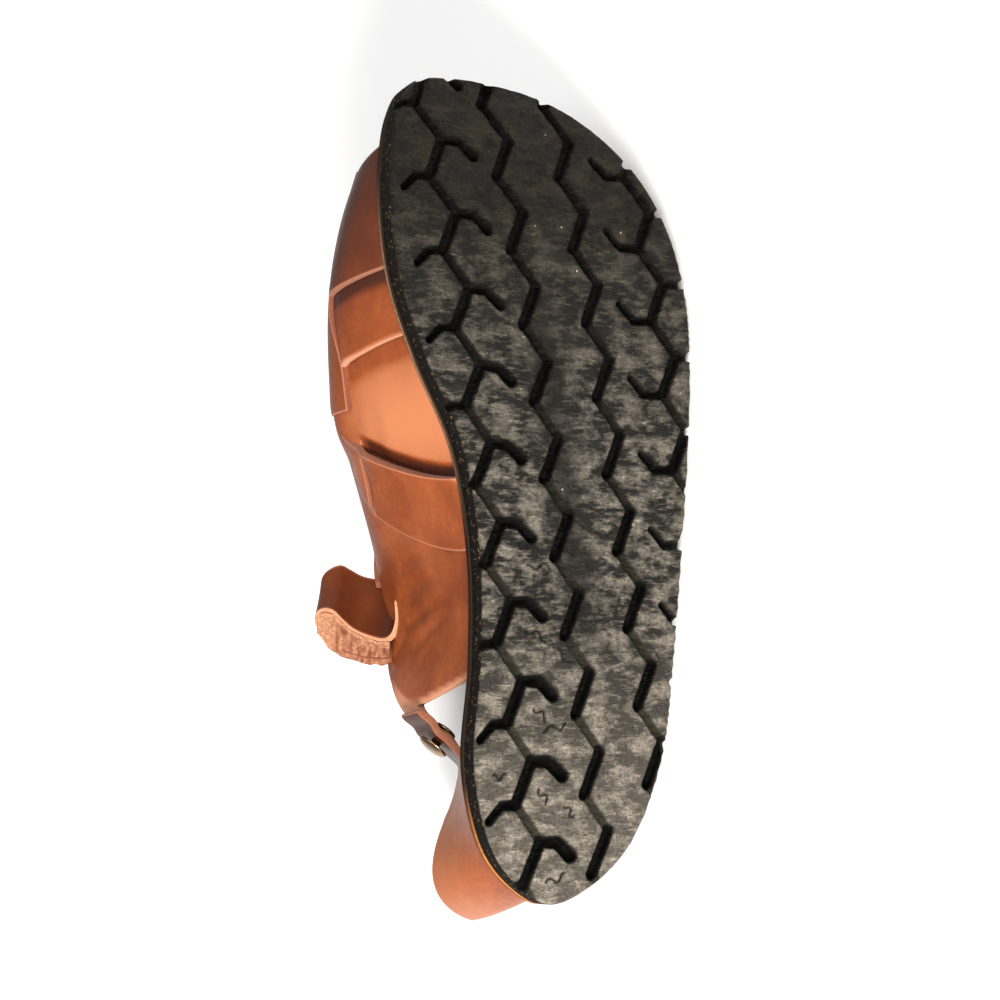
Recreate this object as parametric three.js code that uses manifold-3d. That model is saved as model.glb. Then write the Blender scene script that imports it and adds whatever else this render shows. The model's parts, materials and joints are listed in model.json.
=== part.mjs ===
// Left fisherman sandal with a tyre-tread sole, lying on its outer side.
// Millimetres, +Z up. The shoe is shaped in its own frame first: x from heel to toe,
// y from the inner (medial) to the outer (lateral) side, z up from the tread. At the end it is
// turned over onto its outer side, where it rests on its sole edge, its straps and a heel rivet.
import * as THREE from 'three';
import { mergeVertices } from 'three/addons/utils/BufferGeometryUtils.js';
import { ConvexHull } from 'three/addons/math/ConvexHull.js';
import Module from 'manifold-3d';

const wasm = await Module();
wasm.setup();

// Driving dimensions of the sole
const LENGTH = 280;
const OUTSOLE = 7.5;
const MIDSOLE = 2.7;
const INSOLE = 2.4;
const INSOLE_ROOM = 2.2;
const GAP = 0.3;
const FUSE = 0.01;
const EDGE_BEVEL = { inset: 1.8, up: 2.4 };
const SIDE_STEP = 0.2;
const TOE_SPRING = 11;
const TOE_SPRING_FROM = 170;
const HEEL_RISE = 4;
const HEEL_RISE_TO = 70;
const HEEL_BACK_Y = -2;
const TOE_TIP_Y = -25;

// Driving dimensions of the leather
const LEATHER = 2.6;
const SINK = 0.9;
const ON_TOP = LEATHER - SINK;
const WING_SINK = 1.5;
const UPPER_INSET = 3.8;
const UPPER_FOOT = OUTSOLE + GAP + MIDSOLE + GAP;
const ROUNDNESS = { medial: 0.6, lateral: 0.62, heel: 0.65 };
const LEAN_HEIGHT = 50;
const FAN_X = 60;
const FAN_BLEND = 20;
const SLIT_WIDTH = 0.05;
const SLIT_STEP = { inside: 0.02, outside: 0.06 };
const SLIT_SPARE = 2;
const RAMP = 10;
const COUNTER_HEIGHT = 45;
const COUNTER_SEAT = 19;
const WING_END = 67;
const WING_LOW = 35;
const WING_HIGH = 49;
const WING_SWEEP = 0.75;
const WING_RISE = { from: 40, to: 52 };
const WING_X = 56;
const WING_HEIGHT = 36;
const WING_STAND_OFF = 2.5;

// Tyre tread: zigzag grooves in columns, set askew to the shoe
const TREAD_SKEW = THREE.MathUtils.degToRad(-5.5);
const TREAD_PITCH = 25.7;
const TREAD_PHASE = 258.4;
const TREAD_SWING = 3.8;
const GROOVE_WIDTH = 3.2;
const GROOVE_DEPTH = 4.2;
const TREAD_ROWS = 11;

// Rivets of the heel wings
const RIVET_CAP = 5.5;
const SHANK = 1.8;
const WASHER = 4.2;
const WASHER_THICK = 0.9;
const CAP_RIM = 0.8;
const CAP_HEIGHT = 1.9;
const DOME_SHARE = 0.6;
const DOME_STEP = 0.8;
const SPOT_FACE = 5;

// Sole outline: one row for each station, inner and outer edge
const OUTLINE = [
  { x: 5, medial: -12.5, lateral: 12.7 },
  { x: 18, medial: -24, lateral: 28 },
  { x: 45, medial: -30.5, lateral: 41 },
  { x: 80, medial: -26.5, lateral: 48 },
  { x: 115, medial: -25.3, lateral: 53.5 },
  { x: 150, medial: -30, lateral: 58.5 },
  { x: 180, medial: -42.5, lateral: 61.5 },
  { x: 205, medial: -50, lateral: 62.2 },
  { x: 230, medial: -51.5, lateral: 58 },
  { x: 250, medial: -49.5, lateral: 48.5 },
  { x: 266, medial: -45, lateral: 32.5 },
  { x: 276, medial: -38.5, lateral: 12.6 },
];

// The last at each station: height of its ridge above the upper's foot, the ridge's place across
// the shoe, and how far the inner and outer wall lean out (less than 0: in) at LEAN_HEIGHT
const LAST = [
  { x: 0, rise: 96, aside: HEEL_BACK_Y, medialLean: 14, lateralLean: 14 },
  { x: 8, rise: 96, aside: HEEL_BACK_Y, medialLean: 7, lateralLean: 8 },
  { x: 16, rise: 96, aside: HEEL_BACK_Y, medialLean: -11, lateralLean: 0 },
  { x: 26, rise: 95, aside: HEEL_BACK_Y, medialLean: -20, lateralLean: -6 },
  { x: 40, rise: 94, aside: HEEL_BACK_Y, medialLean: -21, lateralLean: -10 },
  { x: FAN_X, rise: 92, aside: HEEL_BACK_Y, medialLean: -4, lateralLean: -12 },
  { x: 70, rise: 91, aside: -2, medialLean: 2, lateralLean: -13 },
  { x: 80, rise: 89, aside: -2, medialLean: 3, lateralLean: -13 },
  { x: 100, rise: 85, aside: -3, medialLean: 2, lateralLean: -12 },
  { x: 125, rise: 79, aside: -5, medialLean: 7, lateralLean: -12 },
  { x: 155, rise: 68, aside: -10, medialLean: 16, lateralLean: -12 },
  { x: 175, rise: 60, aside: -15, medialLean: 18, lateralLean: -12 },
  { x: 195, rise: 51, aside: -20, medialLean: 17, lateralLean: -12 },
  { x: 235, rise: 34, aside: -25, medialLean: 14, lateralLean: -10 },
  { x: 262, rise: 22, aside: -26, medialLean: 9, lateralLean: -5 },
];

// Straps across the foot: rear and front edge at the inner foot, the ridge and the outer foot
const STRAPS = [
  { name: 'toe', medial: [212, 257], ridge: [206, 243], lateral: [196, 232], step: 'shingle' },
  { name: 'second', medial: [190, 220], ridge: [176, 208], lateral: [174, 204], step: 'shingle' },
  { name: 'third', medial: [117, 145], ridge: [160, 174], lateral: [122, 150], step: 'raised' },
];

const STRAP_SWEEP = 1.2;

// Half width of the middle strip, as a share of the way from the ridge to the foot
const STRIP = [
  { x: 145, half: 0.6 },
  { x: 185, half: 0.52 },
  { x: 245, half: 0.42 },
];

// Rear edge of the main piece, from the foot (up 0) over the quarter to the throat (up 1)
const QUARTER_EDGE = [
  { up: 0, x: 75 },
  { up: 0.05, x: 72 },
  { up: 0.12, x: 69.5 },
  { up: 0.18, x: 68.5 },
  { up: 0.24, x: 70 },
  { up: 0.34, x: 76 },
  { up: 0.5, x: 90 },
  { up: 0.75, x: 111 },
  { up: 1, x: 128 },
];
const PANEL_FRONT = 207;
const STRIP_START = 171.5;
const STRIP_END = 252;

// Strap of the quarter that runs back to the heel wing: height of its middle and half width
const BACK_STRAP = [
  { x: 46, middle: 36, half: 6.5 },
  { x: 54, middle: 37, half: 7 },
  { x: 61, middle: 42, half: 6.8 },
  { x: 68, middle: 48.5, half: 6.5 },
  { x: 80, middle: 54, half: 10 },
  { x: 96, middle: 57, half: 15 },
];

// Instep strap: its middle line over the ridge, from the outer quarter to the inner one
const INSTEP = [
  { way: 0, x: 108, across: 0.6 },
  { way: 0.45, x: 124, across: 0.08 },
  { way: 0.75, x: 120, across: -0.2 },
  { way: 1, x: 110, across: -0.42 },
];
const INSTEP_WIDTH = 27;
const WAY_STEP = 0.01;

// Free end of the instep strap, folded back on itself and standing off the inner quarter. Its
// rear edge as rows of [outwards, ahead], on the grain side and on the folded-back side.
const FLAP = [
  { grain: [-2.6, 16.5], back: [-5, 16.5] },
  { grain: [-2.8, 10.4], back: [-5.4, 9.2] },
  { grain: [-1.4, 5.4], back: [-5, 1.5] },
  { grain: [1.3, 3.5], back: [-2.4, -5] },
  { grain: [6.7, 4.6], back: [5.8, -5] },
  { grain: [12, 6.9], back: [12, -3.8] },
  { grain: [16.2, 10.4], back: [16.6, -2.3] },
  { grain: [19.3, 13.4], back: [21.2, 0.8] },
  { grain: [22.4, 14.2], back: [24.7, 5.7] },
  { grain: [25.4, 13], back: [26.2, 10.4] },
];
const FLAP_AT = new THREE.Vector3(89.5, -24.8, 74.7);
const FLAP_OUT = new THREE.Vector3(0.06, -0.833, 0.55);
const FLAP_AHEAD = new THREE.Vector3(0.984, -0.043, -0.172);
const FLAP_WIDTH = new THREE.Vector3(23.3, 11.3, 14.5);
const FLAP_TAPER = 0.25;

const { lerp, clamp, smoothstep } = THREE.MathUtils;

// Value of a column at x, by smooth cubic pieces through the rows of a table.
function lookup(table, key, column, x) {
  const last = table.length - 1;
  const at = clamp(x, table[0][key], table[last][key]);
  let i = 0;
  while (i < last - 1 && at > table[i + 1][key]) i += 1;
  const slope = (k) => {
    const a = table[Math.max(k - 1, 0)];
    const b = table[Math.min(k + 1, last)];
    return (b[column] - a[column]) / (b[key] - a[key]);
  };
  const span = table[i + 1][key] - table[i][key];
  const t = (at - table[i][key]) / span;
  const ease = t * t * (3 - 2 * t);
  const bend = slope(i) * t * (1 - t) * (1 - t) - slope(i + 1) * t * t * (1 - t);
  return lerp(table[i][column], table[i + 1][column], ease) + span * bend;
}

// Height of the tread above the ground plane: flat under the arch, sprung at toe and heel.
function rocker(x) {
  const toe = Math.max((x - TOE_SPRING_FROM) / (LENGTH - TOE_SPRING_FROM), 0);
  const heel = Math.max((HEEL_RISE_TO - x) / HEEL_RISE_TO, 0);
  return TOE_SPRING * toe * toe + HEEL_RISE * heel * heel;
}

// Closed mesh of points and triangles as a solid with its faces pointing out.
function solidOf(points, triangles) {
  const geometry = new THREE.BufferGeometry();
  const numbers = points.flatMap((point) => point.toArray());
  geometry.setAttribute('position', new THREE.Float32BufferAttribute(numbers, 3));
  geometry.setIndex(triangles);
  return solidFrom(geometry);
}

function solidFrom(source) {
  const bare = source.clone();
  bare.deleteAttribute('normal');
  bare.deleteAttribute('uv');
  const merged = mergeVertices(bare, 1e-4);
  const position = merged.attributes.position;
  const index = merged.index.array;
  const kept = [];
  let volume = 0;
  const [a, b, c] = [new THREE.Vector3(), new THREE.Vector3(), new THREE.Vector3()];
  for (let i = 0; i < index.length; i += 3) {
    const [p, q, r] = [index[i], index[i + 1], index[i + 2]];
    if (p === q || q === r || r === p) continue;
    kept.push(p, q, r);
    a.fromBufferAttribute(position, p);
    b.fromBufferAttribute(position, q);
    c.fromBufferAttribute(position, r);
    volume += a.dot(b.cross(c)) / 6;
  }
  if (volume < 0) kept.reverse();
  const vertProperties = new Float32Array(position.array);
  const mesh = new wasm.Mesh({ numProp: 3, vertProperties, triVerts: new Uint32Array(kept) });
  return new wasm.Manifold(mesh);
}

function geometryOf(solid) {
  const mesh = solid.setTolerance(FUSE).getMesh();
  const geometry = new THREE.BufferGeometry();
  geometry.setAttribute('position', new THREE.BufferAttribute(new Float32Array(mesh.vertProperties), 3));
  geometry.setIndex(new THREE.BufferAttribute(new Uint32Array(mesh.triVerts), 1));
  geometry.computeVertexNormals();
  return geometry;
}

// Outline of the sole as two branches of points, each from the heel back to the toe tip.
const EDGE_STEPS = 12;
function outlineBranches() {
  const heel = new THREE.Vector3(0, HEEL_BACK_Y, 0);
  const toe = new THREE.Vector3(LENGTH, TOE_TIP_Y, 0);
  const outer = OUTLINE.map((row) => new THREE.Vector3(row.x, row.lateral, 0));
  const inner = OUTLINE.map((row) => new THREE.Vector3(row.x, row.medial, 0)).reverse();
  const curve = new THREE.CatmullRomCurve3([heel, ...outer, toe, ...inner], true, 'centripetal');
  const half = (OUTLINE.length + 1) * EDGE_STEPS;
  const points = curve.getPoints(2 * half).map((p) => new THREE.Vector2(p.x, p.y));
  return { lateral: points.slice(0, half + 1), medial: points.slice(half).reverse() };
}
const BRANCH = outlineBranches();

// Where a ray from inside the outline meets one branch of it, and which way is out there.
function edgeAlong(centre, direction, side) {
  const branch = side < 0 ? BRANCH.medial : BRANCH.lateral;
  const lean = (p) => direction.x * (p.y - centre.y) - direction.y * (p.x - centre.x);
  for (let i = 0; i + 1 < branch.length; i += 1) {
    const [near, far] = [lean(branch[i]), lean(branch[i + 1])];
    const ahead = branch[i].clone().sub(centre).dot(direction) > 0;
    if (ahead && near * far <= 0 && near !== far) {
      const run = branch[i + 1].clone().sub(branch[i]).normalize();
      const point = branch[i].clone().lerp(branch[i + 1], near / (near - far));
      return { point, out: new THREE.Vector2(-run.y, run.x).multiplyScalar(side) };
    }
  }
  return { point: branch[0].clone(), out: new THREE.Vector2(-1, 0) };
}

// Stations along the sole, closer together at heel and toe, with both edges moved in by an inset.
const SOLE_STATIONS = 44;
function soleStations(inset) {
  const stations = [];
  for (let i = 0; i <= SOLE_STATIONS; i += 1) {
    const x = (LENGTH * (1 - Math.cos((Math.PI * i) / SOLE_STATIONS))) / 2;
    const centre = new THREE.Vector2(x, lerp(HEEL_BACK_Y, TOE_TIP_Y, x / LENGTH));
    const ends = i === 0 || i === SOLE_STATIONS;
    const edges = [-1, 1].map((side) =>
      ends ? centre.clone() : edgeAlong(centre, new THREE.Vector2(0, side), side).point);
    stations.push(edges);
  }
  return stations.map((edges, i) => edges.map((edge, k) => {
    const before = stations[Math.max(i - 1, 0)][i === 0 ? 1 - k : k];
    const after = stations[Math.min(i + 1, SOLE_STATIONS)][i === SOLE_STATIONS ? 1 - k : k];
    const from = i === 0 ? stations[1][1 - k] : before;
    const to = i === SOLE_STATIONS ? stations[i - 1][1 - k] : after;
    const along = to.clone().sub(from).normalize();
    const inward = new THREE.Vector2(-along.y, along.x).multiplyScalar(k === 0 ? 1 : -1);
    return edge.clone().addScaledVector(inward, inset);
  }));
}

// One layer of the sole: rings of {inset, up} from its underside to its top.
function soleLayer(rings) {
  const points = [];
  const triangles = [];
  const count = SOLE_STATIONS + 1;
  const id = (ring, station, side) => (ring * count + station) * 2 + side;
  for (const { inset, up } of rings) {
    for (const edges of soleStations(inset)) {
      for (const edge of edges) points.push(new THREE.Vector3(edge.x, edge.y, rocker(edge.x) + up));
    }
  }
  const quad = (a, b, c, d) => triangles.push(a, b, c, a, c, d);
  const top = rings.length - 1;
  for (let i = 0; i < SOLE_STATIONS; i += 1) {
    quad(id(0, i, 0), id(0, i, 1), id(0, i + 1, 1), id(0, i + 1, 0));
    quad(id(top, i, 0), id(top, i + 1, 0), id(top, i + 1, 1), id(top, i, 1));
    for (let ring = 0; ring < top; ring += 1) {
      quad(id(ring, i, 0), id(ring, i + 1, 0), id(ring + 1, i + 1, 0), id(ring + 1, i, 0));
      quad(id(ring, i, 1), id(ring + 1, i, 1), id(ring + 1, i + 1, 1), id(ring, i + 1, 1));
    }
  }
  return solidOf(points, triangles);
}

// A layer with straight sides.
function plainLayer(inset, low, thickness) {
  return soleLayer([{ inset, up: low }, { inset, up: low + thickness }]);
}

// A groove of the tread along a path in the tyre's own directions, as a ribbon with mitred bends.
function grooveCutter(path) {
  const turned = path.map(([along, across]) =>
    new THREE.Vector2(along, across).rotateAround(new THREE.Vector2(), TREAD_SKEW));
  const points = [];
  const triangles = [];
  const last = turned.length - 1;
  turned.forEach((point, i) => {
    const into = point.clone().sub(turned[Math.max(i - 1, 0)]).normalize();
    const out = turned[Math.min(i + 1, last)].clone().sub(point).normalize();
    const along = into.clone().add(out).normalize();
    const mitre = i === 0 || i === last ? 1 : along.dot(out);
    const aside = new THREE.Vector2(-along.y, along.x).multiplyScalar(GROOVE_WIDTH / 2 / mitre);
    const ground = rocker(point.x);
    for (const side of [-1, 1]) {
      const edge = point.clone().addScaledVector(aside, side);
      for (const up of [-GROOVE_DEPTH, GROOVE_DEPTH]) {
        points.push(new THREE.Vector3(edge.x, edge.y, ground + up));
      }
    }
  });
  const quad = (a, b, c, d) => triangles.push(a, b, c, a, c, d);
  for (let i = 0; i < last; i += 1) {
    const [a, b] = [4 * i, 4 * i + 4];
    quad(a, b, b + 1, a + 1);
    quad(a + 2, a + 3, b + 3, b + 2);
    quad(a, a + 2, b + 2, b);
    quad(a + 1, b + 1, b + 3, a + 3);
  }
  const end = 4 * last;
  quad(0, 1, 3, 2);
  quad(end, end + 2, end + 3, end + 1);
  return solidOf(points, triangles);
}

// Columns of the tread, with the hooks that branch off at their bends
const TREAD_COLUMNS = [
  { across: -8.6, inner: [[0, -5], [-3.3, -10.3]], outer: [[-1, 6.5], [-7.5, 12]] },
  { across: 17.4 },
  { across: 42.1 },
  { across: 69.1, inner: [[0.3, -7.5], [6.3, -12]], outer: [[0, 14]] },
];
function treadCutters() {
  const cutters = [];
  for (const column of TREAD_COLUMNS) {
    const path = [];
    for (let row = -1; row <= 2 * TREAD_ROWS; row += 1) {
      const outer = row % 2 === 0;
      const along = TREAD_PHASE - (row * TREAD_PITCH) / 2;
      const bend = [along, column.across + (outer ? TREAD_SWING : -TREAD_SWING)];
      path.push(bend);
      const hook = outer ? column.outer : column.inner;
      if (!hook) continue;
      const branch = hook.map(([dx, dy]) => [bend[0] + dx, bend[1] + dy]);
      cutters.push(grooveCutter([bend, ...branch]));
    }
    cutters.push(grooveCutter(path));
  }
  return cutters;
}

function outsoleSolid() {
  let sole = soleLayer([
    { inset: EDGE_BEVEL.inset, up: 0 },
    { inset: 0, up: EDGE_BEVEL.up },
    { inset: SIDE_STEP, up: OUTSOLE },
  ]);
  for (const cutter of treadCutters()) sole = sole.subtract(cutter);
  return sole;
}

// Roundness of a section: the inner wall is boxier than the outer one, and both agree at the heel.
function roundness(x, side) {
  const wall = side < 0 ? ROUNDNESS.medial : ROUNDNESS.lateral;
  return lerp(ROUNDNESS.heel, wall, clamp(Math.abs(x) / FAN_X, 0, 1));
}

// A point on the last. across runs from -1 at the inner foot over 0 at the ridge to 1 at the
// outer foot. Behind FAN_X the sections fan round the heel, and x then counts down to the back.
function lastPoint(x, across) {
  if (x < 0) return lastPoint(-x, -across);
  const side = across < 0 ? -1 : 1;
  const centreX = Math.max(x, FAN_X);
  const centre = new THREE.Vector2(centreX, lookup(LAST, 'x', 'aside', centreX));
  const turn = (Math.PI / 2) * (1 - Math.min(x, FAN_X) / FAN_X);
  const direction = new THREE.Vector2(-Math.sin(turn), side * Math.cos(turn));
  const edge = edgeAlong(centre, direction, side);
  const angle = (Math.PI / 2) * (1 - Math.min(Math.abs(across), 1));
  const round = roundness(x, side);
  const inwards = Math.max(Math.cos(angle), 0);
  const rise = lookup(LAST, 'x', 'rise', x) * Math.sin(angle) ** round;
  const lean = lookup(LAST, 'x', side < 0 ? 'medialLean' : 'lateralLean', x);
  const reach = (edge.point.distanceTo(centre) - UPPER_INSET - LEATHER) * inwards ** round;
  const aside = direction.clone().lerp(edge.out, smoothstep(FAN_X - x, 0, FAN_BLEND)).normalize();
  const flat = centre.addScaledVector(direction, reach);
  flat.addScaledVector(aside, (lean * rise * Math.sqrt(inwards)) / LEAN_HEIGHT);
  return new THREE.Vector3(flat.x, flat.y, rocker(edge.point.x) + UPPER_FOOT + rise);
}

// Share of the way up from the foot to the ridge at which the last reaches a height.
function shareAt(x, height, side) {
  const part = clamp(height / lookup(LAST, 'x', 'rise', Math.abs(x)), 0, 1);
  return Math.asin(part ** (1 / roundness(x, side))) / (Math.PI / 2);
}

const PROBE = { x: 0.5, across: 0.01 };
function lastNormal(x, across) {
  const along = lastPoint(x + PROBE.x, across).sub(lastPoint(x - PROBE.x, across));
  const low = Math.max(across - PROBE.across, -1);
  const high = Math.min(across + PROBE.across, 1);
  const over = lastPoint(x, high).sub(lastPoint(x, low));
  return along.cross(over).normalize();
}

// A point a given distance outside the last.
function skin(x, across, offset) {
  return lastPoint(x, across).addScaledVector(lastNormal(x, across), offset);
}

// A sheet of leather as a closed solid. at(a, b) gives its inner and its outer point.
function sheet(columns, rows, at) {
  const points = [];
  const triangles = [];
  const id = (i, j, face) => (i * (rows + 1) + j) * 2 + face;
  for (let i = 0; i <= columns; i += 1) {
    for (let j = 0; j <= rows; j += 1) points.push(...at(i / columns, j / rows));
  }
  const quad = (a, b, c, d) => triangles.push(a, b, c, a, c, d);
  for (let i = 0; i < columns; i += 1) {
    for (let j = 0; j < rows; j += 1) {
      quad(id(i, j, 1), id(i + 1, j, 1), id(i + 1, j + 1, 1), id(i, j + 1, 1));
      quad(id(i, j, 0), id(i, j + 1, 0), id(i + 1, j + 1, 0), id(i + 1, j, 0));
    }
    quad(id(i, 0, 0), id(i + 1, 0, 0), id(i + 1, 0, 1), id(i, 0, 1));
    quad(id(i, rows, 0), id(i, rows, 1), id(i + 1, rows, 1), id(i + 1, rows, 0));
  }
  for (let j = 0; j < rows; j += 1) {
    quad(id(0, j, 0), id(0, j, 1), id(0, j + 1, 1), id(0, j + 1, 0));
    quad(id(columns, j, 0), id(columns, j + 1, 0), id(columns, j + 1, 1), id(columns, j, 1));
  }
  return solidOf(points, triangles);
}

// Inner and outer point of a piece of leather that lies a distance outside the last.
// At the foot both are cut level, on the sole.
function layered(x, across, low) {
  const faces = [skin(x, across, low), skin(x, across, low + LEATHER)];
  if (Math.abs(across) >= 1) {
    for (const face of faces) face.z = lastPoint(x, across).z;
  }
  return faces;
}

function strapEdge(strap, end, across) {
  const foot = across < 0 ? strap.medial[end] : strap.lateral[end];
  return lerp(strap.ridge[end], foot, Math.abs(across) ** STRAP_SWEEP);
}

// 1 on the middle strip of the main piece, 0 on its sides, with a soft step at the slits.
function inStrip(x, across) {
  const half = lookup(STRIP, 'x', 'half', x);
  return 1 - smoothstep(Math.abs(across), half - SLIT_STEP.inside, half + SLIT_STEP.outside);
}

// A strap: over the side panels, then through the slits and under the middle strip.
function strapSolid(strap) {
  return sheet(28, 2, (a, b) => {
    const across = 2 * a - 1;
    const x = lerp(strapEdge(strap, 0, across), strapEdge(strap, 1, across), b);
    const over = strap.step === 'shingle' ? 1 - b : 1;
    return layered(x, across, ON_TOP * over * (1 - inStrip(x, across)));
  });
}

// The main piece: side panels, quarters and the middle, raised where the third strap passes under.
function panelSolid() {
  const third = STRAPS[2];
  return sheet(32, 9, (a, b) => {
    const across = 2 * a - 1;
    const rear = lookup(QUARTER_EDGE, 'up', 'x', 1 - Math.abs(across));
    const front = lerp(PANEL_FRONT, STRIP_START + RAMP, inStrip(STRIP_START, across));
    const x = lerp(rear, front, b);
    const rise = smoothstep(x, third.ridge[0] - RAMP, third.ridge[0] + SLIT_SPARE)
      * (1 - smoothstep(x, third.ridge[1] - SLIT_SPARE, third.ridge[1] + RAMP));
    return layered(x, across, ON_TOP * rise * inStrip(x, across));
  });
}

// The strip that runs on over the two front straps to the toe.
function stripSolid() {
  return sheet(8, 8, (a, b) => {
    const x = lerp(STRIP_START, STRIP_END, b);
    const half = lookup(STRIP, 'x', 'half', x);
    const lift = smoothstep(x, STRIP_START, STRIP_START + RAMP);
    return layered(x, half * (2 * a - 1), lerp(GAP, ON_TOP, lift));
  });
}

// Slits beside the middle strip where a strap dives under it.
function slitCutters() {
  const cutters = [];
  for (const strap of [STRAPS[1], STRAPS[2]]) {
    for (const side of [-1, 1]) {
      cutters.push(sheet(1, 5, (a, b) => {
        const middle = (strap.ridge[0] + strap.ridge[1]) / 2;
        const across = side * (lookup(STRIP, 'x', 'half', middle) + SLIT_WIDTH * a);
        const rear = strapEdge(strap, 0, across) - SLIT_SPARE;
        const x = lerp(rear, strapEdge(strap, 1, across) + SLIT_SPARE, b);
        return [skin(x, across, -LEATHER), skin(x, across, 3 * LEATHER)];
      }));
    }
  }
  return cutters;
}

// Strap from each quarter back to the heel wing.
function backStrapSolid(side) {
  return sheet(12, 2, (a, b) => {
    const x = lerp(BACK_STRAP[0].x, BACK_STRAP.at(-1).x, a);
    const middle = lookup(BACK_STRAP, 'x', 'middle', x);
    const half = lookup(BACK_STRAP, 'x', 'half', x);
    const across = side * (1 - shareAt(x, lerp(middle - half, middle + half, b), side));
    return layered(x, across, 0);
  });
}

// Heel counter: seated on the sole round the back, rising into a wing along each side.
function counterSolid() {
  return sheet(30, 3, (a, b) => {
    const place = WING_END * (2 * a - 1);
    const x = Math.abs(place);
    const side = place < 0 ? -1 : 1;
    const wing = clamp((x - COUNTER_SEAT) / (WING_END - COUNTER_SEAT), 0, 1);
    const low = WING_LOW * wing ** WING_SWEEP;
    const high = lerp(COUNTER_HEIGHT, WING_HIGH, wing);
    const across = side * (1 - shareAt(x, lerp(low, high, b), side));
    const off = WING_STAND_OFF * smoothstep(x, WING_X + RIVET_CAP, WING_END);
    const over = smoothstep(x, WING_RISE.from, WING_RISE.to);
    return layered(x, across, (LEATHER - WING_SINK) * over + off);
  });
}

// Frame on the last at a place along the instep strap.
function instepAt(way, b) {
  const x = lookup(INSTEP, 'way', 'x', way);
  const across = lookup(INSTEP, 'way', 'across', way);
  const on = (at) => skin(lookup(INSTEP, 'way', 'x', at), lookup(INSTEP, 'way', 'across', at), 0);
  const along = on(way + WAY_STEP).sub(on(way - WAY_STEP)).normalize();
  const normal = lastNormal(x, across);
  const aside = normal.clone().cross(along).normalize();
  const middle = skin(x, across, ON_TOP);
  return { along, normal, point: middle.addScaledVector(aside, INSTEP_WIDTH * (b - 0.5)) };
}

// Instep strap: over the ridge, from one quarter to the other.
function instepSolid() {
  return sheet(20, 2, (a, b) => {
    const { normal, point } = instepAt(lerp(WAY_STEP, 1 - WAY_STEP, a), b);
    return [point, point.clone().addScaledVector(normal, LEATHER)];
  });
}

// Its folded end: the two layers lie on each other, so they make one thickness.
function flapSolid() {
  const last = FLAP.length - 1;
  return sheet(last, 2, (a, b) => {
    const row = FLAP[Math.round(a * last)];
    return [row.back, row.grain].map(([out, ahead]) => FLAP_AT.clone()
      .addScaledVector(FLAP_OUT, out)
      .addScaledVector(FLAP_AHEAD, ahead)
      .addScaledVector(FLAP_WIDTH, b * (1 - FLAP_TAPER * a)));
  });
}

// Places of the rivets, one on each heel wing, as axis, seat and thickness.
function rivetPlace(x, across, thick) {
  return { seat: skin(x, across, 0), axis: lastNormal(x, across), thick };
}
const STACK = 2 * LEATHER;
const RIVETS = {
  heel_rivet_medial: { ...rivetPlace(WING_X, shareAt(WING_X, WING_HEIGHT, -1) - 1, STACK), cap: RIVET_CAP },
  heel_rivet_lateral: { ...rivetPlace(WING_X, 1 - shareAt(WING_X, WING_HEIGHT, 1), STACK), cap: RIVET_CAP },
};
const RIVET_SIDES = 16;

function turnTo(geometry, { seat, axis }) {
  const turn = new THREE.Quaternion().setFromUnitVectors(new THREE.Vector3(0, 1, 0), axis);
  return geometry.applyQuaternion(turn).translate(seat.x, seat.y, seat.z);
}

// A rivet: washer inside, shank through the leather, domed cap outside.
function rivetSolid(place) {
  const seatIn = -2 * GAP;
  const seatOut = place.thick + 2 * GAP;
  const profile = [
    [0, seatIn - WASHER_THICK], [WASHER, seatIn - WASHER_THICK], [WASHER, seatIn], [SHANK, seatIn],
    [SHANK, seatOut], [place.cap, seatOut], [place.cap, seatOut + CAP_RIM],
    [place.cap * DOME_SHARE, seatOut + CAP_RIM + DOME_STEP], [0, seatOut + CAP_HEIGHT],
  ].map(([r, y]) => new THREE.Vector2(r, y));
  return solidFrom(turnTo(new THREE.LatheGeometry(profile, RIVET_SIDES), place));
}

// Hole for a rivet, spot-faced under its washer and its cap.
function rivetHole(place) {
  const [low, high] = [-GAP, place.thick + GAP];
  const profile = [
    [0, low - SPOT_FACE], [WASHER + GAP, low - SPOT_FACE], [WASHER + GAP, low], [SHANK + GAP, low],
    [SHANK + GAP, high], [place.cap + GAP, high], [place.cap + GAP, high + SPOT_FACE],
    [0, high + SPOT_FACE],
  ].map(([r, y]) => new THREE.Vector2(r, y));
  return solidFrom(turnTo(new THREE.LatheGeometry(profile, RIVET_SIDES), place));
}

function upperSolid() {
  let upper = panelSolid();
  for (const cutter of slitCutters()) upper = upper.subtract(cutter);
  upper = upper.add(stripSolid());
  for (const strap of STRAPS) upper = upper.add(strapSolid(strap));
  for (const side of [-1, 1]) upper = upper.add(backStrapSolid(side));
  upper = upper.add(counterSolid()).add(instepSolid()).add(flapSolid());
  for (const place of Object.values(RIVETS)) upper = upper.subtract(rivetHole(place));
  return upper;
}

const midsoleLow = OUTSOLE + GAP;
const insoleInset = UPPER_INSET + LEATHER + INSOLE_ROOM;
const solids = {
  outsole: outsoleSolid(),
  midsole: plainLayer(SIDE_STEP, midsoleLow, MIDSOLE),
  insole: plainLayer(insoleInset, UPPER_FOOT, INSOLE),
  upper: upperSolid(),
};
for (const [name, place] of Object.entries(RIVETS)) solids[name] = rivetSolid(place);

const looks = {
  outsole: { color: 0x2c2a25, roughness: 0.85, metalness: 0 },
  midsole: { color: 0xc8a070, roughness: 0.7, metalness: 0 },
  insole: { color: 0xb07a4c, roughness: 0.7, metalness: 0 },
  upper: { color: 0xb5653c, roughness: 0.5, metalness: 0 },
  metal: { color: 0x5a4a40, roughness: 0.35, metalness: 1 },
};

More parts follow.
